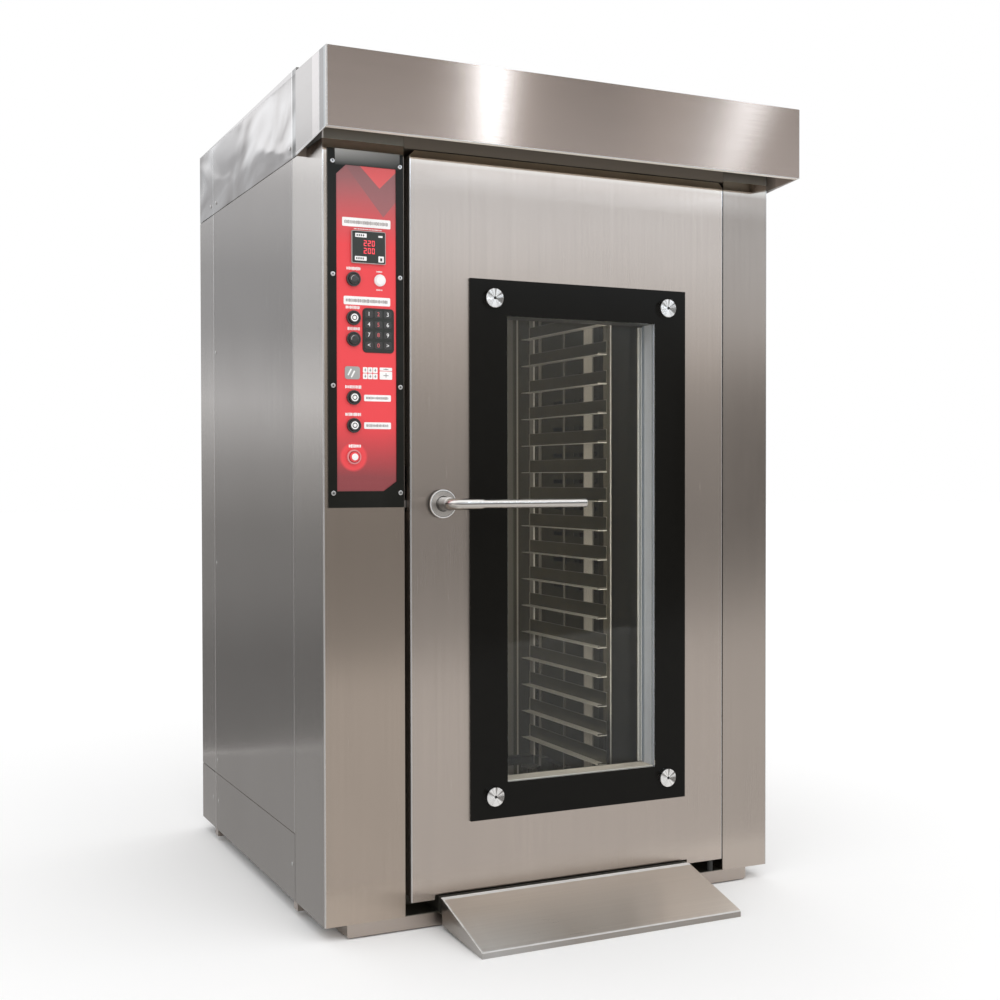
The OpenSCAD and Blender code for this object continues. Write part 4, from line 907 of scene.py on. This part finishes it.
# ---------------------------------------------------------------- control panel


def tick_row(name, x0, x1, z, height, depth, thick, wide=(1.0, 2.6)):
    """A line of short marks that stands for a caption and says nothing."""
    marks, x = [], x0
    while x < x1 - 1:
        width = random.uniform(*wide)
        rise = height * random.uniform(0.72, 1.0)
        marks.append(block("mark", (x, depth - thick, z - rise / 2),
                           (min(x + width, x1), depth, z + rise / 2)))
        x += width + random.uniform(0.5, 1.1)
    row = joined(name, marks)
    bevel(row, 0.12, 1)
    return row


def build_labels():
    """White caption strips, three tiles and the small captions above the keys."""
    film, strip = -1.95, -2.65
    for name, x0, x1, z0, z1 in (
            ("upper", -555, -440, 1604.5, 1624.5), ("middle", -552, -441, 1430.0, 1449.0),
            ("fan", -504.5, -440, 1214.7, 1229.2), ("damper", -504.5, -440, 1152.3, 1167.4)):
        plate = rounded_plate(f"{name}_label", (x0, -2.7, z0), (x1, -1.9, z1), 2.6, 0.25)
        finish(plate, *WHITE_PRINT)
        ticks = tick_row(f"{name}_label_marks", x0 + 5, x1 - 5, (z0 + z1) / 2,
                         (z1 - z0) * 0.42, strip, 0.12)
        finish(ticks, *GREY_PRINT)
    for name, x0, x1, z in (
            ("start", -545, -512, 1511), ("steam", -543, -514, 1376.5),
            ("light", -547, -514, 1424), ("fan", -549, -509, 1246),
            ("damper", -549, -511, 1184.5), ("stop", -541, -512, 1113.5),
            ("lamp", -474, -460, 1507), ("lamp_lower", -474, -460, 1466)):
        height = 3.6 if name.startswith("lamp") else 7.8
        finish(tick_row(f"{name}_caption", x0, x1, z, height, film, 0.3), *WHITE_PRINT)

    grey = rounded_plate("grey_tile", (-550, -3.4, 1263), (-514, -1.9, 1292), 6, 0.6)
    finish(grey, tile_grey, "cabinet", "machine_steel")
    middle = spot(-536, 0, 1277.5)
    lean = (Matrix.Translation(middle) @ Matrix.Rotation(math.radians(28), 4, "Y")
            @ Matrix.Translation(-middle))
    for index in range(2):
        stroke = rounded_plate(f"tile_stroke_{index + 1}", (-541 + 9 * index, -3.8, 1269),
                               (-537.5 + 9 * index, -3.3, 1286), 1.5, 0.15)
        stroke.data.transform(lean)
        finish(stroke, *WHITE_PRINT)
    cells = [(-507 + 12 * column, 1264.5 + 14 * row, 10.8, 12.6)
             for column in range(3) for row in range(2)]
    cells += [(-467, 1264.5, 30, 18.5), (-467, 1284.4, 30, 7.0)]
    tiles = [rounded_plate("tile", (x, -2.9, z), (x + width, -1.9, z + height), 1.6, 0.2)
             for x, z, width, height in cells]
    finish(joined("white_tiles", tiles), *WHITE_PRINT)
    marks = []
    for x, z, width, height in cells:
        mid_x, mid_z = x + width / 2, z + height / 2
        marks.append(block("mark", (mid_x - width * 0.2, -3.0, mid_z - 1.1),
                           (mid_x + width * 0.2, -2.85, mid_z + 0.6)))
        marks.append(block("mark", (mid_x - 0.7, -3.0, mid_z - height * 0.25),
                           (mid_x + 0.9, -2.85, mid_z + height * 0.28)))
    finish(joined("tile_marks", marks), *GREY_PRINT)


def build_keys():
    """Six round keys in black rings, each on its own body, and the white indicator."""
    x, start = KEY_X, KEYS["start"]
    ring = disc("start_ring", 16.5, -8, -2, x, start)
    pick_front(ring)
    inset((3.6, 0))
    push(3.2)
    soften(ring, 0.9, 3)
    finish(ring, *BLACK_PART)
    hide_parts("button_bezels")

    cap = disc("start_cap", 11.9, -11.2, -5.2, x, start)
    soften(cap, 2.4, 4)
    pick_front(cap)
    inset((2.2, 0.5), (3.0, -0.35))
    stem = disc("start_stem", 6, -5.4, 12, x, start, 24)
    bevel(stem, 0.5)
    bpy.ops.object.mode_set(mode="OBJECT")
    cap = joined("start_cap", [cap, stem])
    finish(cap, gloss_black, "start_key", "button_black")
    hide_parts("start_button")

    for name, z in list(KEYS.items())[1:]:
        move = shift(z=z - start)
        other_ring = again(ring, f"{name}_ring", "cabinet", move)
        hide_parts("button_bezels")
        other = again(cap, f"{name}_cap", f"{name}_key", move)
        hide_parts(f"{name}_button")
        if name == "steam":
            continue
        stop = name == "stop"
        if stop:
            other_ring.data.materials[0] = ring_pink
            other.data.materials[0] = key_red
        icon = disc(f"{name}_icon", 7.6 if stop else 8.6, -12.1, -10.4, x, z, 32)
        pick_front(icon)
        if stop:
            inset((1.6, 0.15), (1.8, 0))
            push(-0.3)
        else:
            for width, depth in ((2.6, 0.35), (2.0, -0.5), (1.4, 0.3)):
                inset((width, 0))
                push(depth)
        finish(icon, [label_white, gloss_black], f"{name}_key", "indicator_white")
        for face in icon.data.polygons:
            face.material_index = int(not stop and 3.6 < reach_of(face, x, z) < 6.3)
    # a painted highlight: a pale arc where the light catches the two plain keys
    for name in ("start", "steam"):
        z = KEYS[name]
        painted_glint = block(f"{name}_arc", (x - 0.7, -12.0, z + 6.6), (x + 0.7, -11.0, z + 8.0))
        pick(painted_glint, "FACE", lambda f: f.normal.x > 0.9)
        bpy.ops.mesh.spin(steps=14, angle=math.radians(115), center=spot(x, -11.5, z),
                          axis=(0, 1, 0))
        finish(painted_glint, ring_grey, f"{name}_key", "button_black")

    lamp = disc("indicator_dome", 13.4, -7, -2, -466.5, 1487.5)
    pick_front(lamp)
    inset((2.6, 0))
    push(-3.0)
    soften(lamp, 0.8, 3, -6.8)
    pick_front(lamp, -9.5)
    inset((4.5, 0.25), (1.0, -0.4))
    finish(lamp, indicator_white, "cabinet", "indicator_white")
    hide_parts("indicator_lamp")


def build_screws():
    """Pan head screws with a cross recess, on the panel and on the side sheets."""
    x, z = -578, 1008
    first = disc("panel_screw_1", 5.6, -6.6, -3.9, x, z, 32)
    soften(first, 1.5, 4)
    pick_front(first)
    inset((2.2, 0), (0.5, -0.9), (0.6, 0.35))
    finish(first, [polished, painted_shade_steel], "cabinet", "polished_steel")
    # the cross recess takes the near-black steel as painted shade
    for face in first.data.polygons:
        face.material_index = int(reach_of(face, x, z) < 2.2 and face.center.y < level_y(-5))
    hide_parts("panel_screws")
    places = [(other_x, other_z) for other_z in (1008, 1248, 1496, 1747)
              for other_x in (-578, -418)]
    for number, (other_x, other_z) in enumerate(places[1:], 2):
        again(first, f"panel_screw_{number}", "cabinet", shift(other_x - x, other_z - z))
    number = len(places) + 1
    for side, word in ((-1, "left"), (1, "right")):
        for depth, height in ((959, 119), (1019, 119), (244, 119), (959, 1823), (1019, 1823),
                              (244, 1823), (969, 235), (969, 800), (969, 1400)):
            move = (Matrix.Translation(spot(side * 599.9, depth, height))
                    @ Matrix.Rotation(math.radians(90 * side), 4, "Z") @ Matrix.Scale(0.8, 4)
                    @ Matrix.Translation(-spot(x, -3.9, z)))
            again(first, f"side_screw_{word}_{number}", "cabinet", move)
            number += 1


SEGMENTS = {"0": "abcdef", "2": "abged"}


def digit(x, z, value, wide=7.0, tall=13.0, bar=1.9, depth=-7.8):
    """One seven-segment figure."""
    half = tall / 2
    spans = {"a": (0, tall - bar, wide, tall), "g": (0, half - bar / 2, wide, half + bar / 2),
             "d": (0, 0, wide, bar), "f": (0, half, bar, tall), "e": (0, 0, bar, half),
             "b": (wide - bar, half, wide, tall), "c": (wide - bar, 0, wide, half)}
    gap = 0.15
    bars = []
    for mark in SEGMENTS[value]:
        x0, z0, x1, z1 = spans[mark]
        bars.append(rounded_plate("bar", (x + x0 + gap, depth, z + z0 + gap),
                                  (x + x1 - gap, depth + 0.5, z + z1 - gap), 0.45, 0.1, 2))
    return bars


def build_display():
    """The square display: a thin pale rim, dark glass, two rows of red figures, small chips."""
    x0, x1, z0, z1 = -534.5, -453.5, 1523, 1596
    rim = rounded_plate("display_rim", (x0, -8, z0), (x1, -2, z1), 3.0)
    pick_front(rim)
    inset((1.5, 0))
    push(1.2)
    soften(rim, 0.4)
    finish(rim, ring_grey, "cabinet", "black_plastic")
    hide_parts("display_module")
    face = rounded_plate("display_face", (x0 + 1.7, -7.4, z0 + 1.7), (x1 - 1.7, -6.6, z1 - 1.7),
                         2.0, 0.2)
    finish(face, display_glass, "cabinet", "black_plastic")
    bars = []
    for row, value in ((1562, "220"), (1545, "200")):
        for index, one in enumerate(value):
            bars += digit(-506.0 + 9.6 * index, row, one)
    finish(joined("display_figures", bars), led_red, "cabinet", "indicator_white")
    chips = [((-526, 1581), (-499, 1590)), ((-527, 1529), (-499, 1538.5)),
             ((-471, 1527.5), (-458, 1541)), ((-471, 1583), (-461, 1587))]
    plates = [rounded_plate("chip", (a[0], -7.7, a[1]), (b[0], -7.3, b[1]), 1.0, 0.1)
              for a, b in chips]
    finish(joined("display_chips", plates), *WHITE_PRINT)
    marks = [block("mark", (a[0] + 3 + 5 * n, -7.85, a[1] + 2.5),
                   (a[0] + 6 + 5 * n, -7.65, b[1] - 2.5))
             for a, b in chips[:2] for n in range(4)]
    marks += [block("mark", (-467, -7.85, 1530), (-462, -7.65, 1537))]
    finish(joined("display_chip_marks", marks), *BLACK_PART)
    caption = tick_row("display_caption", -527, -461, 1600.2, 2.6, -1.95, 0.3, (1.5, 3.0))
    finish(caption, *WHITE_PRINT)


def build_keypad():
    """A black membrane keypad with twelve cushions and plain figures."""
    plate = rounded_plate("keypad_plate", (-507.5, -4.2, 1324), (-432.5, -2, 1424), 9, 0.6, 6)
    finish(plate, keypad_black, "cabinet", "black_plastic")
    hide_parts("keypad")
    first = rounded_plate("keypad_key_1", (-502.5, -4.9, 1402), (-483.5, -4.0, 1419), 4, 0.5)
    finish(first, *BLACK_PART)
    pale, ruddy = [], []
    for index, words in enumerate("123456789<0>"):
        right, up = 22.5 * (index % 3), -23.4 * (index // 3)
        if index:
            again(first, f"keypad_key_{index + 1}", "cabinet", shift(right, up))
        mark = figures("figure", words, 13, -493 + right, -4.95, 1410.5 + up, 0.16)
        (ruddy if index % 3 == 1 else pale).append(mark)
    finish(joined("keypad_figures", pale), *WHITE_PRINT)
    finish(joined("keypad_figures_red", ruddy), figure_red, "cabinet", "indicator_white")


# ---------------------------------------------------------------- studio
# In metres.


def glow_sheet(name, points, faces, colour, strength=1.0):
    """A sheet that the camera and the floor don't see, but polished steel does; colour is
    made from the material's tree."""
    mesh = bpy.data.meshes.new(name)
    mesh.from_pydata(points, [], faces)
    sheet = add(name, mesh)
    material, tree, shader = new_material(name)
    tree.nodes.remove(shader)
    glow = node(tree, "Emission", {"Color": colour(tree), "Strength": strength})
    plug(tree.nodes["Material Output"].inputs["Surface"], glow)
    mesh.materials.append(material)
    sheet.visible_camera = sheet.visible_shadow = sheet.visible_diffuse = False


def screen(name, corners, low, high, tones, across=False, cool=None, rise=0.0):
    """A standing screen in plan corners, toned in soft bands by height, or by x when across
    is set. A tone is (place, brightness) or has a colour behind these two."""
    points = [(x, y, low) for x, y in corners]
    points += [(x, y, high + rise * max(0.0, x - 0.8)) for x, y in corners]
    count = len(corners)
    faces = [(i, i + 1, i + 1 + count, i + count) for i in range(count - 1)]
    start, stop = tones[0][0], tones[-1][0]
    brightest = 1.25 * max(tone[1] for tone in tones)

    def colour(tree):
        coords = split_places(tree)
        value = spread(coords["x" if across else "z"], 0.0, 1.0, start, stop)
        shade = ramp(value, [((tone[0] - start) / (stop - start),
                              times(tone[2:] or (1, 1, 1), tone[1] / brightest))
                             for tone in tones], smooth=False)
        if cool:
            low_z, high_z, hue = cool
            shade = blend(spread(coords["z"], 0.0, 1.0, low_z, high_z), shade,
                          blend(1.0, shade, hue, "MULTIPLY"))
        return shade

    glow_sheet(name, points, faces, colour, brightest)


def lamp(name, at, energy, size, turn, colour=(1, 1, 1), inside=False):
    """A softbox; only a lamp inside the chamber shows in the steel."""
    data = bpy.data.lights.new(name, "AREA")
    data.energy = energy
    data.color = colour
    data.shape = "RECTANGLE"
    data.size, data.size_y = size
    light = add(name, data)
    light.location = at
    light.rotation_euler = [math.radians(degrees) for degrees in turn]
    light.visible_camera = False
    light.visible_glossy = inside
    light.visible_transmission = False


def build_studio():
    world = bpy.data.worlds.new("studio")
    bpy.context.scene.world = world
    world.use_nodes = True
    fill(world.node_tree.nodes["Background"], Color=(1, 1, 1), Strength=1.0)

    bpy.ops.mesh.primitive_plane_add(size=80)
    floor = bpy.context.object
    floor.name = "floor"
    material, tree, shader = new_material("floor")
    fill(shader, Base_Color=(0.96, 0.96, 0.96), Roughness=0.9, Specular_IOR_Level=0.0)
    floor.data.materials.append(material)

    # in front, to the right: a dim wall with a lighter upper half
    screen("front_wall", [(-7, -4.0), (1.1, -4.75), (4.8, -6.4), (9, -7.8)], 0.0, 2.87,
           [(0.0, 0.38), (0.75, 0.36), (1.3, 0.5), (1.6, 0.6), (1.85, 0.68), (2.1, 0.82),
            (2.4, 1.25), (2.65, 1.0), (2.87, 1.4)], cool=(1.9, 2.5, (0.97, 1.05, 1.14)), rise=0.1)
    # a dark doorway at its right end
    screen("doorway", [(4.0, -6.0), (7.5, -7.1)], 0.25, 1.95,
           [(0.25, 0.22), (0.75, 0.02), (1.4, 0.03), (1.75, 0.12), (1.95, 0.5)])
    # above the wall: dim, with two upright lights and a soft glow between them
    screen("upper_wall", [(-7, -5.8), (9, -5.8)], 3.12, 5.4,
           [(-7, 0.4), (1.2, 0.42), (1.75, 0.44), (2.02, 0.56), (2.15, 1.1),
            (2.2, 6.6, 0.97, 1.13, 1.27), (2.33, 6.6, 0.97, 1.13, 1.27), (2.38, 1.2),
            (2.55, 0.56), (2.75, 0.42), (3.15, 0.3), (3.4, 0.44), (3.6, 0.72), (3.78, 0.52),
            (4.0, 0.56), (4.12, 4.6, 0.97, 1.12, 1.25), (4.24, 4.6, 0.97, 1.12, 1.25),
            (4.34, 0.7), (4.6, 0.42), (9, 0.4)], across=True, cool=(2.9, 2.91, (0.97, 1.0, 1.03)))
    # behind, to the left: the wall that the side panels see
    screen("side_wall", [(-7, -1.5), (-3.2, 1.5), (-0.65, 1.85)], 0.0, 3.4,
           [(0.0, 0.24), (0.35, 0.24), (0.6, 0.33), (0.86, 0.36), (1.1, 0.52), (1.34, 0.88),
            (1.45, 0.76), (1.62, 0.56), (1.85, 0.54), (2.05, 0.7), (2.2, 0.72), (2.38, 1.5),
            (2.75, 1.6), (3.0, 0.6), (3.4, 1.2)], cool=(0.9, 1.7, (0.985, 1.01, 1.045)))
    # the floor as the steel sees it: a little dimmer than white, dimmer still at the side
    for name, corners, tone in (
            ("front_carpet", [(-7, -4.3), (1.1, -4.7), (8.4, -7.6), (8.4, -0.8), (-0.9, -0.8),
                              (-0.9, -1.6), (-7, -1.6)], 0.76),
            ("side_carpet", [(-7, -1.55), (-0.95, -1.55), (-0.95, -0.79), (-0.62, -0.79),
                             (-0.62, 1.8), (-3.2, 1.45)], 0.48)):
        glow_sheet(name, [(x, y, 0.001) for x, y in corners], [tuple(range(len(corners)))],
                   lambda tree: (tone, tone, tone))

    lamp("key_softbox", (1.5, -4.5, 4.2), 30, (3.0, 2.0), (52, 0, 17.19))
    sun = bpy.data.lights.new("even_light", "SUN")
    sun.energy = 0.35
    sun.angle = math.radians(50)
    even = add("even_light", sun)
    even.rotation_euler = (math.radians(35), math.radians(-12), 0)
    even.visible_glossy = False
    # two upright strips inside the chamber, beside the door opening
    lamp("left_strip", (-0.36, -0.335, 1.0), 2.0, (0.03, 1.3), (90, 0, -40),
         (1.0, 0.86, 0.7), inside=True)
    lamp("right_strip", (0.375, -0.335, 1.0), 0.9, (0.03, 1.3), (90, 0, 50),
         (1.0, 0.88, 0.74), inside=True)


def build_camera():
    lens = bpy.data.cameras.new("camera")
    lens.lens = 49.84
    lens.sensor_width = 36
    camera = add("camera", lens)
    yaw, pitch, roll = (math.radians(a) for a in (25.48, 0.93, 0.09))
    turn = (Matrix.Rotation(-yaw, 4, "Z") @ Matrix.Rotation(math.pi / 2 - pitch, 4, "X")
            @ Matrix.Rotation(-roll, 4, "Z"))
    camera.matrix_world = Matrix.Translation((-1.5700, -3.4013, 1.0424)) @ turn
    bpy.context.scene.camera = camera


build_window()
build_reveal()
build_handle()
build_screws()
build_labels()
build_keys()
build_display()
build_keypad()
build_studio()
build_camera()
bpy.context.scene.view_settings.view_transform = "Standard"
